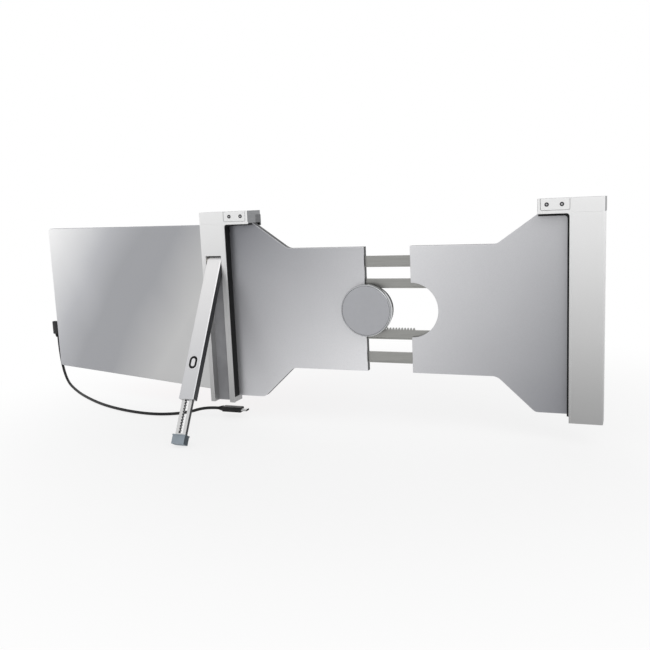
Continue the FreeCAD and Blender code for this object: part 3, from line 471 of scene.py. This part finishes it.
def picture_finish():
    """The lit picture: broad silk waves with fine streaks, inside a thin blue-grey line."""
    made = Finish("screen_picture", Roughness=0.22, Specular_IOR_Level=0.1)
    spot = made.add("ShaderNodeTexCoord").outputs["UV"]
    wide = made.mapped((1.78, 1.0, 1.0), source=spot)
    sway = made.add("ShaderNodeTexNoise")
    made.feed(sway.inputs["Vector"], wide)
    sway.inputs["Scale"].default_value = 1.15
    sway.inputs["Detail"].default_value = 1.0
    bent = made.add("ShaderNodeVectorMath", operation="MULTIPLY_ADD")
    made.feed(bent.inputs[0], sway.outputs["Color"])
    bent.inputs[1].default_value = (0.9, 0.9, 0.0)
    made.feed(bent.inputs[2], wide)
    slanted = made.mapped((1.0, 1.0, 1.0), (0.0, 0.0, math.radians(-38)), source=bent.outputs[0])
    waves = made.add("ShaderNodeTexWave", wave_type="BANDS", bands_direction="X", wave_profile="SAW")
    made.feed(waves.inputs["Vector"], slanted)
    waves.inputs["Scale"].default_value = 0.34
    waves.inputs["Distortion"].default_value = 1.6
    waves.inputs["Detail"].default_value = 1.0
    waves.inputs["Detail Scale"].default_value = 0.6
    stops = ((0.0, "10129A"), (0.1, "3A2AE8"), (0.2, "9A50F0"), (0.3, "E0108A"), (0.44, "E80048"),
             (0.58, "B00004"), (0.7, "F03010"), (0.8, "FFB400"), (0.88, "FFF020"), (1.0, "F0208A"))
    bands = made.run(waves.outputs["Fac"], [(at, shade(code)) for at, code in stops])
    streaks = made.noise(1.0, 4.0, made.mapped((34.0, 1.6, 1.0), source=slanted))
    soft = made.noise(2.6, 2.0, slanted)
    lit = made.mix(made.spread(streaks, 0.38, 0.66, 0.0, 0.5), bands, shade("3A0A30"), "MULTIPLY")
    lit = made.mix(made.spread(soft, 0.5, 0.75, 0.0, 0.3), lit, shade("FF90C0"), "SOFT_LIGHT")
    sides = made.add("ShaderNodeSeparateXYZ")
    made.feed(sides.inputs["Vector"], spot)
    far = []
    for axis, span in (("X", SCREEN_WIDTH), ("Y", SCREEN_HEIGHT)):
        centred = made.math("ABSOLUTE", made.math("SUBTRACT", sides.outputs[axis], 0.5))
        border = 0.5 * span / (span + 2 * FRAME_LINE)
        far.append(made.spread(centred, border - 0.0005, border + 0.0005))
    frame_line = made.math("MAXIMUM", far[0], far[1])
    made.feed(made.skin.inputs["Base Color"], made.mix(frame_line, shade("050506"), shade("2E2F31")))
    made.feed(made.skin.inputs["Emission Color"], made.mix(frame_line, lit, shade("6C749C")))
    made.skin.inputs["Emission Strength"].default_value = 1.0
    return made.material


def board_finish():
    """Circuit board: green resist with fine tracks."""
    made = Finish("board_resist")
    tracks = made.add("ShaderNodeTexBrick")
    made.feed(tracks.inputs["Vector"], made.mapped((220, 220, 220), (math.radians(90), 0, 0)))
    green = shade("0F4A28")
    tone = made.mix(tracks.outputs["Fac"], green, tinted(green, 1.9))
    made.colour(made.mix(made.spread(made.noise(300.0), 0.4, 0.6, 0.0, 0.3), tone, tinted(green, 0.7)))
    made.rough(made.noise(800.0), 0.3, 0.5)
    made.bump(tracks.outputs["Fac"], 0.04 * MM)
    return made.material


def finishes():
    """Every finish of the object, by the frame's slot or by this script's own name."""
    c = bpy.context.scene.extender_colours
    # The runs of the bars, leg, plates and display back are painted light and shade; the bezel and button
    # run darker towards the bottom
    silver = ((0.0, c.silver_low), (1.0, c.silver_high))
    plate = ((0.0, c.plate_deep), (1.0, c.plate_light))
    bezel = ((0.0, tinted(c.bezel, 0.72)), (1.0, c.bezel))
    shell = ((0.0, c.shell_light), (0.38, c.shell_middle), (0.56, c.shell_deep), (0.74, c.shell_deep),
             (1.0, c.shell_end))
    leg = ((0.0, c.leg_low), (1.0, c.leg_high))
    button = ((0.0, shade("CFCFD1")), (1.0, shade("ECECEC")))
    # Bands of painted reflection and shade along the knob's rim, back to front
    rim = [(at, tinted(c.rim, by)) for at, by in
           ((0.0, 0.1), (0.3, 0.3), (0.5, 1.6), (0.62, 2.1), (0.8, 0.7), (0.92, 1.2), (1.0, 1.5))]
    bars = upright(BAR_FOOT, BAR_TOP)
    rubber = {"low": 0.6, "high": 0.8, "grain": 700.0, "depth": 0.04, "shine": 0.25}
    return {
        "silver_aluminium": satin_metal("silver_satin", silver, bars),
        # Painted shade on the heads' ends and tops
        "head_aluminium": satin_metal("head_satin", silver, bars, sides=c.end, cap_shade=c.end),
        # Painted light and shade run down the leg, and painted shade on its side walls
        "leg_aluminium": satin_metal("leg_satin", leg, upright(-0.1, 0.05), sides=c.side),
        # The two plates differ only in their painted light and shade, which runs aslant each its own way
        "plate_aluminium": satin_metal("plate_painted_light_a", plate,
                                       aslant(x=-0.287, z=-0.29, start=-0.067, end=0.022)),
        "plate_far_painted_light": satin_metal("plate_painted_light_b", plate,
                                 aslant(x=0.33, z=0.27, start=-0.096, end=0.017)),
        # Painted shade on the bezel's side walls, top and bottom
        "display_aluminium": satin_metal("bezel_satin", bezel, upright(-0.1, 0.1), sides=c.display_side_shade,
                                         cap_shade=c.display_side_shade),
        # The display back's run of tones is painted light and shade, and its walls take painted shade
        "shell": satin_metal("shell_satin", shell, aslant(x=-0.52, z=-0.43, start=-0.294, end=-0.114),
                             sides=c.display_side_shade, cap_shade=c.display_side_shade),
        # Each plastic's edge factor below sets how light the painted highlight on its edges is
        "dark_plastic": moulded("tray_plastic", c.dark),
        "white_plastic": moulded("hook_plastic", c.hook, edge_highlight=1.1),
        "grey_plastic": moulded("strip_plastic", c.strip, edge_highlight=1.2),
        # This black rubber also makes the black strips of painted shade
        "black_rubber": moulded("liner_rubber", c.black, **rubber),
        # Painted light: the black jaws' side walls take a grey drawn from the heads' painted shade
        "jaw_black": moulded("jaw_rubber", c.black, **rubber, sides=tinted(c.end, 0.8)),
        # Painted shade on the foot's side walls
        "grey_rubber": moulded("foot_rubber", c.foot, low=0.5, high=0.7, edge_highlight=1.25, sides=shade("39434B")),
        "rail_steel": brushed("rail_ground", c.rail),
        "bright_steel": brushed("steel_drawn", shade("BCBCBC"), "Z"),
        "knob_chrome": turned_metal("knob_polished", c.rim, low=0.14, high=0.22, pitch=0.9 * MM,
                                    depth=0.002, metallic=0.9, lines=0.05, bands=rim),
        "knob_face": turned_metal("knob_satin", c.face, low=0.42, high=0.44, pitch=0.5 * MM,
                                  depth=0.001, metallic=0.7, lines=0.03),
        "gear_plastic": moulded("gear_plastic", shade("D8D4C8"), edge_highlight=1.05),
        "brass": brushed("brass_turned", shade("B08A3E"), "Z"),
        "screen_glass": picture_finish(),
        "panel_white": moulded("panel_film", shade("C8CACE"), low=0.2, high=0.3),
        "board_green": board_finish(),
        "cable_black": moulded("plug_black", c.black, low=0.42, high=0.6, grain=1200.0, depth=0.02,
                               shine=0.3),
        "trim_white": moulded("trim_white", shade("F0F0F2"), edge_highlight=1.05),
        "button_white": satin_metal("button_satin", button, upright(-0.06, -0.03), metallic=0.3),
        # Painted shade on the fork's side walls
        "fork_steel": brushed("fork_ground", shade("D4D4D4"), "Z", sides=c.side),
        # Painted shade for the recess floor
        "recess_shade_grey": moulded("recess_shade_grey", shade("9A9A9D"), edge_highlight=1.1),
        "socket_dark": brushed("socket_dark", shade("3A3A3C"), "Z", low=0.4, high=0.55),
    }


def stacked(bm, rings):
    """Rings about Z, each (points, radius, height, stretch along Y), bridged into a closed body."""
    loops = []
    for count, radius, height, stretch in rings:
        place = Matrix.Translation((0, 0, height)) @ Matrix.Rotation(math.pi / count, 4, "Z")
        made = bmesh.ops.create_circle(bm, segments=count, radius=radius, matrix=place)["verts"]
        for side in (1, -1):
            half = [v for v in made if v.co.y * side > 0]
            bmesh.ops.translate(bm, verts=half, vec=(0, side * stretch / 2, 0))
        loops.append(list({e for v in made for e in v.link_edges}))
    for low, high in zip(loops, loops[1:]):
        bmesh.ops.bridge_loops(bm, edges=low + high)
    for end in (loops[0], loops[-1]):
        bmesh.ops.contextual_create(bm, geom=end)


def slots(bm, profile, long, points=40):
    """A stack of round-ended slots about Z, each (radius, height), with straight sides of one length."""
    stacked(bm, [(points, radius, height, long) for radius, height in profile])


def turned(bm, profile, steps=96):
    """A profile of (radius, height) points spun about Z."""
    points = [bm.verts.new((r, 0, z)) for r, z in profile]
    edges = [bm.edges.new(pair) for pair in zip(points, points[1:])]
    bmesh.ops.spin(bm, geom=points + edges, axis=(0, 0, 1), cent=(0, 0, 0), steps=steps, angle=2 * math.pi,
                   use_merge=True)
    bmesh.ops.remove_doubles(bm, verts=bm.verts, dist=0.00001)


def block(bm, low, high, bevel, segments=2):
    """A box between two corners with rounded edges."""
    low, high = Vector(low), Vector(high)
    made = bmesh.ops.create_cube(bm, size=1.0)["verts"]
    bmesh.ops.scale(bm, verts=made, vec=high - low)
    bmesh.ops.translate(bm, verts=made, vec=(high + low) / 2)
    edges = list({e for v in made for e in v.link_edges})
    bmesh.ops.bevel(bm, geom=edges, offset=bevel, offset_type="OFFSET", segments=segments, profile=0.5,
                    affect="EDGES", clamp_overlap=True, material=-1)


def gathered(bm, small, place):
    """A small bmesh put in its place and added to another."""
    bmesh.ops.transform(small, matrix=place, verts=small.verts)
    mesh = bpy.data.meshes.new("small")
    small.to_mesh(mesh)
    small.free()
    bm.from_mesh(mesh)
    bpy.data.meshes.remove(mesh)


def piece(name, bm, finish, body, replaced=(), place=Matrix.Identity(4), sharp=35):
    """The finished bmesh as a piece that rides on a body."""
    bmesh.ops.remove_doubles(bm, verts=bm.verts, dist=0.000002)
    bmesh.ops.transform(bm, matrix=place, verts=bm.verts)
    bmesh.ops.recalc_face_normals(bm, faces=bm.faces)
    for face in bm.faces:
        face.smooth = True
    for edge in bm.edges:
        edge.smooth = not (edge.is_manifold and edge.calc_face_angle(0) > math.radians(sharp))
    mesh = bpy.data.meshes.new(name)
    bm.to_mesh(mesh)
    bm.free()
    made = bpy.data.objects.new(name, mesh)
    bpy.context.scene.collection.objects.link(made)
    made.data.materials.append(finish)
    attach(made, body)
    if replaced:
        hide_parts(*replaced)
    return made


STOCK = {}


def stock():
    """The finishes, made once."""
    if not STOCK:
        STOCK.update(finishes())
    return STOCK


class StageOperator(bpy.types.Operator):
    """Camera, floor, room light and lamps"""
    bl_idname = "extender.stage"
    bl_label = "Stage"

    def execute(self, context):
        scene = context.scene
        look = scene.extender_stage
        scene.view_settings.view_transform = "Standard"
        self.camera(scene, look, VIEW_CENTRE)
        self.floor(scene, look)
        self.room(scene, look)
        self.lamp(scene, "key", at=(-1.1, 1.4, 1.5), towards=(0.05, 0.0, 0.0), size=1.3, power=look.key)
        self.lamp(scene, "fill", at=(0.9, -1.4, 1.0), towards=(0.1, 0.0, 0.0), size=1.2, power=look.fill)
        return {"FINISHED"}

    def camera(self, scene, look, target):
        """The camera looks at its target from the stage's two angles, and is rolled about that line."""
        away = Vector((math.sin(look.azimuth) * math.cos(look.elevation),
                       -math.cos(look.azimuth) * math.cos(look.elevation), math.sin(look.elevation)))
        right = (-away).cross(Vector((0, 0, 1))).normalized()
        up = right.cross(-away)
        turned_right = right * math.cos(look.roll) + up * math.sin(look.roll)
        turned_up = up * math.cos(look.roll) - right * math.sin(look.roll)
        axes = Matrix((turned_right, turned_up, away)).transposed()
        data = bpy.data.cameras.new("camera")
        data.sensor_width = 36.0
        data.lens = look.lens
        data.clip_start = 0.01
        made = bpy.data.objects.new("camera", data)
        made.matrix_world = Matrix.Translation(target + away * look.distance) @ axes.to_4x4()
        scene.collection.objects.link(made)
        scene.camera = made

    def floor(self, scene, look):
        """A wide pale floor that the camera sees fade into the room."""
        bm = bmesh.new()
        bmesh.ops.create_grid(bm, x_segments=8, y_segments=8, size=4.0)
        bmesh.ops.translate(bm, verts=bm.verts, vec=(0, 0, frame_box[0][2] - FLOOR_GAP))
        mesh = bpy.data.meshes.new("floor")
        bm.to_mesh(mesh)
        bm.free()
        made = bpy.data.objects.new("floor", mesh)
        scene.collection.objects.link(made)
        finish = Finish("floor_pale", Roughness=0.8)
        finish.colour(look.floor)
        radius = finish.reach(finish.axis("X"), finish.axis("Y"))
        fade = finish.spread(radius, 0.2, 0.6, to_low=0.75, to_high=1.0, smooth=True)
        blend = finish.add("ShaderNodeMixShader")
        finish.feed(blend.inputs["Fac"], finish.math("MULTIPLY", finish.looked_at(), fade))
        finish.feed(blend.inputs[1], finish.skin.outputs["BSDF"])
        finish.feed(blend.inputs[2], finish.add("ShaderNodeEmission").outputs[0])
        finish.feed(finish.out.inputs["Surface"], blend.outputs[0])
        made.data.materials.append(finish.material)

    def room(self, scene, look):
        """Even light from all round, seen as plain white."""
        world = bpy.data.worlds.new("room")
        scene.world = world
        world.use_nodes = True
        nodes = Nodes(world.node_tree)
        back = nodes.add("ShaderNodeBackground")
        back.inputs["Color"].default_value = (1, 1, 1, 1)
        nodes.feed(back.inputs["Strength"], nodes.spread(nodes.looked_at(), 0.0, 1.0, look.room, 1.0))
        nodes.feed(nodes.add("ShaderNodeOutputWorld").inputs["Surface"], back.outputs[0])

    def lamp(self, scene, name, at, towards, size, power):
        data = bpy.data.lights.new(name, "AREA")
        data.size = size
        data.energy = power
        made = bpy.data.objects.new(name, data)
        at = Vector(at)
        turn = (at - Vector(towards)).to_track_quat("Z", "Y").to_matrix().to_4x4()
        made.matrix_world = Matrix.Translation(at) @ turn
        made.visible_camera = False
        scene.collection.objects.link(made)


class CableOperator(bpy.types.Operator):
    """The cable, its moulded plugs and their tapered sleeves"""
    bl_idname = "extender.cable"
    bl_label = "Cable and plugs"

    def execute(self, context):
        sizes = context.scene.extender_sizes
        parts = stock()
        route = [Vector(p) * MM for p in CABLE_ROUTE_MM]
        curve = bpy.data.curves.new("signal_cable", "CURVE")
        curve.dimensions = "3D"
        curve.bevel_depth = sizes.cable_width / 2
        curve.bevel_resolution = 6
        curve.resolution_u = 14
        curve.use_fill_caps = True
        spline = curve.splines.new("NURBS")
        spline.points.add(len(route) - 1)
        for point, at in zip(spline.points, route):
            point.co = (*at, 1)
        spline.order_u = 3
        spline.use_endpoint_u = True
        cable = bpy.data.objects.new("signal_cable", curve)
        context.scene.collection.objects.link(cable)
        curve.materials.append(parts["cable_black"])
        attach(cable, "display")
        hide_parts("cable")
        pieces = [self.angle_plug(parts), self.straight_plug(parts), self.tongue(parts)]
        pieces.append(self.sleeve("angle_sleeve", "angle_relief", 2, parts))
        pieces.append(self.sleeve("straight_sleeve", "straight_relief", 0, parts))
        return {"FINISHED"}

    def angle_plug(self, parts):
        """The plug in the display's outer edge, a rounded block with grip lines."""
        wide, tall, reach = 0.003, 0.009, 0.0125
        grip, half_line, proud = 0.0021, 0.0004, 0.0002
        y, z = DISPLAY_MIDDLE, PORT_HEIGHT
        end = DISPLAY_EDGE + reach
        bm = bmesh.new()
        block(bm, (DISPLAY_EDGE + 0.0001, y - wide, z - tall), (end, y + wide, z + tall), bevel=0.0011,
              segments=3)
        for line in range(-2, 3):
            at = z + line * 0.0016
            block(bm, (end - proud, y - grip, at - half_line), (end + proud, y + grip, at + half_line),
                  bevel=0.00015, segments=1)
        return piece("angle_plug_shell", bm, parts["cable_black"], "display", ["angle_plug"],
                     ON_DISPLAY)

    def straight_plug(self, parts):
        """The plug at the cable's far end, a rounded grip with short lines on its sides."""
        low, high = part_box("straight_plug")
        start = low.x + MOUTH_LENGTH
        line, proud, inset = 0.0011, 0.00015, 0.002
        bm = bmesh.new()
        block(bm, (start, low.y, low.z), (high.x, high.y, high.z), bevel=0.0014, segments=3)
        for step in range(5):
            x = start + 0.009 + step * 2 * line
            for z in (low.z, high.z):
                block(bm, (x, low.y + inset, z - proud), (x + line, high.y - inset, z + proud),
                      bevel=0.0001, segments=1)
        return piece("straight_plug_shell", bm, parts["cable_black"], "display",
                     ["straight_plug"])

    def tongue(self, parts):
        """The bare metal mouth of the far plug, an open flat tube."""
        low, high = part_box("straight_plug")
        outer, inner, width = 0.0012, 0.0009, 0.0082
        bm = bmesh.new()
        slots(bm, ((outer, 0.0), (outer, MOUTH_LENGTH - 0.0001), (outer - 0.00005, MOUTH_LENGTH),
                   (inner + 0.00005, MOUTH_LENGTH), (inner, MOUTH_LENGTH - 0.0002), (inner, 0.0008)),
              width - 2 * outer, points=32)
        middle = (low + high) / 2
        place = Matrix.Translation((low.x + MOUTH_LENGTH, middle.y, middle.z)) @ FACING_IN
        return piece("straight_plug_mouth", bm, parts["bright_steel"], "display", (), place)

    def sleeve(self, name, node, axis, parts):
        """A tapered ribbed sleeve where the cable leaves its plug."""
        low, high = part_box(node)
        middle = (low + high) / 2
        reach = high[axis] - low[axis]
        wide = (high[(axis + 1) % 3] - low[(axis + 1) % 3]) / 2 + 0.0004
        bore, thin, groove, ease, ribs = 0.00176, 0.0019, 0.00025, 0.00005, 4
        profile = [(bore, 0.0)]
        for rib in range(ribs):
            start = reach * rib / ribs
            radius = thin + (wide - thin) * (rib + 0.6) / ribs
            profile += [(radius - groove, start + ease), (radius, start + 0.0002),
                        (radius, start + reach / ribs * 0.62),
                        (radius - groove, start + reach / ribs * 0.75)]
        profile += [(wide, reach - ease), (wide, reach), (bore, reach)]
        bm = bmesh.new()
        turned(bm, profile, steps=32)
        if axis == 2:
            place = Matrix.Translation((middle.x, middle.y, low.z))
        else:
            place = Matrix.Translation((high.x, middle.y, middle.z)) @ FACING_IN
        return piece(name, bm, parts["cable_black"], "display", [node], place)


class KnobOperator(bpy.types.Operator):
    """The round knob: polished rim, groove and satin face"""
    bl_idname = "extender.knob"
    bl_label = "Knob"

    def execute(self, context):
        sizes = context.scene.extender_sizes
        parts = stock()
        low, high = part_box("knob_body")
        back, front = KNOB_BACK, high.y
        r, hub, seat = sizes.knob_radius, 0.008, front - 0.0012
        land = r - 0.0008 - sizes.knob_land
        face = land - sizes.knob_groove
        bm = bmesh.new()
        turned(bm, [(0.0, low.y), (hub - 0.0001, low.y), (hub, low.y + 0.0002), (hub, back),
                    (r - 0.001, back), (r - 0.0003, back + 0.0003), (r, back + 0.001), (r, seat),
                    (r - 0.0003, front - 0.0004), (r - 0.0009, front), (land + 0.0002, front),
                    (land, front - 0.0002), (land, seat), (0.0, seat)])
        piece("knob_rim", bm, parts["knob_chrome"], "knob", ["knob_body"], FACING_REAR,
              sharp=50)
        bm = bmesh.new()
        turned(bm, [(0.0, seat - 0.0001), (face, seat - 0.0001), (face, front - 0.0003),
                    (face - 0.0003, front - 0.00005), (face - 0.0009, front), (0.0, front)])
        piece("knob_face", bm, parts["knob_face"], "knob", ["knob_cap"], FACING_REAR,
              sharp=50)
        return {"FINISHED"}


class ScrewsOperator(bpy.types.Operator):
    """The socket screws in the small plates on the heads"""
    bl_idname = "extender.screws"
    bl_label = "Head screws"

    def execute(self, context):
        sizes = context.scene.extender_sizes
        parts = stock()
        inset = 0.002
        for side, body in BODIES.items():
            low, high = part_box("head_screws_" + side)
            z = (low.z + high.z) / 2
            places = [Vector((x, HEAD_SEAT, z)) for x in (low.x + inset, high.x - inset)]
            bm = bmesh.new()
            for at in places:
                gathered(bm, self.screw(sizes), Matrix.Translation(at) @ FACING_REAR)
            piece("socket_screws_" + side, bm, parts["socket_dark"], body,
                  ["head_screws_" + side], sharp=30)
            # A painted glint at the foot of each socket
            bm = bmesh.new()
            for at in places:
                sunk = at - Vector((0.0, 0.0001, 0.0))
                gathered(bm, self.socket_glint(sizes), Matrix.Translation(sunk) @ FACING_REAR)
            piece("socket_glints_" + side, bm, parts["trim_white"], body)
        return {"FINISHED"}

    def screw(self, sizes):
        """A low round head with a hexagon socket."""
        r, socket = sizes.screw_radius, sizes.socket_radius
        bm = bmesh.new()
        rings = ((24, r, -0.0002), (24, r, 0.0003), (24, r - 0.0003, 0.0006), (24, r - 0.0006, 0.0007),
                 (6, socket, 0.00062), (6, socket * 0.92, -0.0001))
        stacked(bm, [(*ring, 0.0) for ring in rings])
        return bm

    def socket_glint(self, sizes):
        """A pale disc at the foot of the socket: a painted glint."""
        r, thick = sizes.socket_radius * 0.8, 0.0003
        bm = bmesh.new()
        turned(bm, [(0.0, thick), (r, thick), (r, 0.0), (0.0, 0.0)], steps=24)
        return bm


class LegOperator(bpy.types.Operator):
    """The release button with its dark ring, and the two-step foot"""
    bl_idname = "extender.leg"
    bl_label = "Leg details"

    def execute(self, context):
        sizes = context.scene.extender_sizes
        parts = stock()
        r = sizes.release_width / 2
        long = sizes.release_length - sizes.release_width
        place = ON_LEG @ Matrix.Translation(RELEASE) @ FACING_REAR
        bm = bmesh.new()
        hole = r + 0.00015
        outer = hole + sizes.trim_width
        slots(bm, ((hole, -0.001), (hole, 0.0002), (r + 0.0004, 0.00035), (outer - 0.0003, 0.00035),
                   (outer, 0.0001), (outer, -0.0003)), long)
        self.open_ends(bm)
        piece("release_trim", bm, parts["trim_white"], "leg", (), place)
        inner = r - sizes.ring_width
        bm = bmesh.new()
        slots(bm, ((r - 0.0001, -0.0011), (r - 0.0001, 0.0002), (r - 0.0004, 0.0004),
                   (inner + 0.0003, 0.0003), (inner + 0.0001, 0.0001), (inner + 0.0001, -0.0006)), long)
        piece("release_collar", bm, parts["black_rubber"], "leg_release", ["release_button"],
              place)
        bm = bmesh.new()
        slots(bm, ((inner, -0.0005), (inner, 0.0002), (inner - 0.0003, 0.00045), (inner - 0.001, 0.0005),
                   (inner - 0.0013, 0.0003), (inner - 0.0018, 0.00025)), long)
        piece("release_cap", bm, parts["trim_white"], "leg_release", (), place)
        self.foot(parts)
        return {"FINISHED"}

    def foot(self, parts):
        """A block with a step round its top."""
        step, inset, sunk = 0.0012, 0.0004, 0.0002
        under = FOOT_HIGH.z - step
        bm = bmesh.new()
        block(bm, (FOOT_LOW.x, FOOT_LOW.y, under), FOOT_HIGH, bevel=0.0003)
        block(bm, FOOT_LOW + Vector((inset, inset, 0.0)),
              (FOOT_HIGH.x - inset, FOOT_HIGH.y - inset, under + sunk), bevel=0.0004)
        piece("foot_shoe", bm, parts["grey_rubber"], "leg_extension", ["leg_foot"], ON_LEG)

    def open_ends(self, bm):
        """The flat ends taken off a ring."""
        bmesh.ops.delete(bm, geom=[f for f in bm.faces if len(f.verts) > 4], context="FACES")


class ScreenOperator(bpy.types.Operator):
    """The lit screen and the small status lamp in the display's edge"""
    bl_idname = "extender.screen"
    bl_label = "Screen"

    def execute(self, context):
        parts = stock()
        left, right = SCREEN_LEFT - FRAME_LINE, SCREEN_LEFT + SCREEN_WIDTH + FRAME_LINE
        low, top = SCREEN_TOP - SCREEN_HEIGHT - FRAME_LINE, SCREEN_TOP + FRAME_LINE
        front, back = HINGE.y - 0.0048, HINGE.y - 0.0038
        bm = bmesh.new()
        block(bm, (left, front, low), (right, back, top), bevel=0.0002)
        layer = bm.loops.layers.uv.new("spot")
        for face in bm.faces:
            for corner in face.loops:
                at = corner.vert.co
                corner[layer].uv = ((at.x - left) / (right - left), (at.z - low) / (top - low))
        piece("screen_picture", bm, parts["screen_glass"], "display", ["screen_glass"],
              ON_DISPLAY)
        bm = bmesh.new()
        turned(bm, [(0.0, 0.0), (0.0006, 0.0), (0.0006, 0.0001), (0.0004, 0.0002), (0.0, 0.00025)],
               steps=20)
        seat = Vector((DISPLAY_EDGE - 0.0001, DISPLAY_MIDDLE, LAMP_HEIGHT))
        place = ON_DISPLAY @ Matrix.Translation(seat) @ FACING_OUT
        piece("status_lamp", bm, parts["button_white"], "display", (), place)
        return {"FINISHED"}


class ShadeStripsOperator(bpy.types.Operator):
    """The black strip of painted shade and the rolled edge beside each plate, a grey sheet of painted shade
    on the recess floor, and a black band of painted shade in the gap beside the display
    """
    bl_idname = "extender.liners"
    bl_label = "Shade strips and edges"

    def execute(self, context):
        sizes = context.scene.extender_sizes
        parts = stock()
        low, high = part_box("bar_a")
        edge, top = low.x, high.z
        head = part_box("head_a")[0].x
        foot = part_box("cover_a")[0].z
        thick = sizes.liner_width
        # Widths of each black strip of painted shade, beside the bar and under the head; the far plate's are
        # wider
        walls = {"a": (thick * 0.6, thick), "b": (thick * 1.3, thick * 1.4)}
        places = {"a": Matrix.Identity(4), "b": OTHER_HALF}
        round_in = sizes.corner_radius
        rolled = 0.0008
        for side, body in BODIES.items():
            bm = self.elbow((edge, top), (head + rolled, foot + 0.0002), 0.0, walls[side], round_in,
                            depth=(0.00902, 0.0188))
            piece("plate_shade_strip_" + side, bm, parts["black_rubber"], body, (), places[side])
            bm = self.elbow((edge, top), (head, low.z), 0.0013, (rolled, rolled), round_in,
                            depth=(0.0187, 0.02003))
            piece("rolled_edge_" + side, bm, parts["silver_aluminium"], body, (),
                  places[side], sharp=30)
        bm = bmesh.new()
        # A grey sheet of painted shade on the recess floor
        block(bm, *RECESS_SHADE_SHEET, bevel=0.00005, segments=1)
        piece("recess_shade_sheet", bm, parts["recess_shade_grey"], "base_half")
        bm = bmesh.new()
        # A black band of painted shade in the gap beside the display
        (left, right), (front, back) = HINGE_GAP_SHADE
        block(bm, (left, front, foot + 0.002), (right, back, top - 0.0015), bevel=0.00008, segments=1)
        piece("hinge_gap_shade", bm, parts["black_rubber"], "base_half")
        return {"FINISHED"}

    def elbow(self, corner, ends, back, wall, radius, depth):
        """A strip up the bar and along under the head, with a rounded inner corner.

        It reaches back past the corner into the bar and the head, and its two walls stand out from them.
        """
        (edge, top), (head, foot), (beside, under) = corner, ends, wall
        outline = ((edge + back, foot), (edge + back, top + back), (head, top + back), (head, top - under),
                   (edge - beside, top - under), (edge - beside, foot))
        bm = bmesh.new()
        points = [bm.verts.new((x, depth[0], z)) for x, z in outline]
        sides = [bm.edges.new(pair) for pair in zip(points, points[1:] + points[:1])]
        bmesh.ops.contextual_create(bm, geom=sides)
        bmesh.ops.bevel(bm, geom=[points[4]], offset=radius, offset_type="OFFSET", segments=8, profile=0.5,
                        affect="VERTICES", clamp_overlap=True, material=-1)
        grown = bmesh.ops.extrude_face_region(bm, geom=list(bm.faces))["geom"]
        far = [v for v in grown if isinstance(v, bmesh.types.BMVert)]
        bmesh.ops.translate(bm, verts=far, vec=(0, depth[1] - depth[0], 0))
        return bm


# Pieces whose finish isn't the plain one of their slot
OWN_FINISH = {
    "head_a": "head_aluminium",
    "head_b": "head_aluminium",
    "jaw_a": "jaw_black",
    "jaw_b": "jaw_black",
    "lid_pads_a": "grey_plastic",
    "lid_pads_b": "grey_plastic",
    "cover_b": "plate_far_painted_light",
    "display_back": "shell",
    "port_sockets": "socket_dark",
    "leg_shell": "leg_aluminium",
    "inner_leg": "fork_steel",
}


class FinishesOperator(bpy.types.Operator):
    """Finishes on the pieces that keep the frame's own shapes"""
    bl_idname = "extender.finishes"
    bl_label = "Finishes"

    def execute(self, context):
        parts = stock()
        for name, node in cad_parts.items():
            for entry in node.material_slots:
                slot = entry.material.name.split(".")[0] if entry.material else ""
                key = OWN_FINISH.get(name, slot)
                if key not in parts:
                    raise RuntimeError(f"no finish for {name}")
                entry.material = parts[key]
        return {"FINISHED"}


OPERATORS = (StageOperator, FinishesOperator, CableOperator, KnobOperator, ScrewsOperator, LegOperator,
             ScreenOperator, ShadeStripsOperator)
GROUPS = {
    "extender_sizes": ExtenderSizes,
    "extender_colours": ExtenderColours,
    "extender_stage": ExtenderStage,
}


class ExtenderPanel(bpy.types.Panel):
    """Lists the operators and their sizes, colours and stage values"""
    bl_idname = "VIEW3D_PT_extender"
    bl_label = "Screen extender"
    bl_space_type = "VIEW_3D"
    bl_region_type = "UI"
    bl_category = "Extender"

    def draw(self, context):
        for operator in OPERATORS:
            self.layout.operator(operator.bl_idname)
        for name, group in GROUPS.items():
            column = self.layout.column()
            for entry in group.__annotations__:
                column.prop(getattr(context.scene, name), entry)


def register():
    for group in GROUPS.values():
        bpy.utils.register_class(group)
    for name, group in GROUPS.items():
        setattr(bpy.types.Scene, name, PointerProperty(type=group))
    for entry in (*OPERATORS, ExtenderPanel):
        bpy.utils.register_class(entry)


def unregister():
    for entry in reversed((*OPERATORS, ExtenderPanel)):
        bpy.utils.unregister_class(entry)
    for name, group in GROUPS.items():
        delattr(bpy.types.Scene, name)
        bpy.utils.unregister_class(group)


def main():
    register()
    for operator in OPERATORS:
        getattr(bpy.ops.extender, operator.bl_idname.split(".")[1])()


if __name__ == "__main__":
    main()
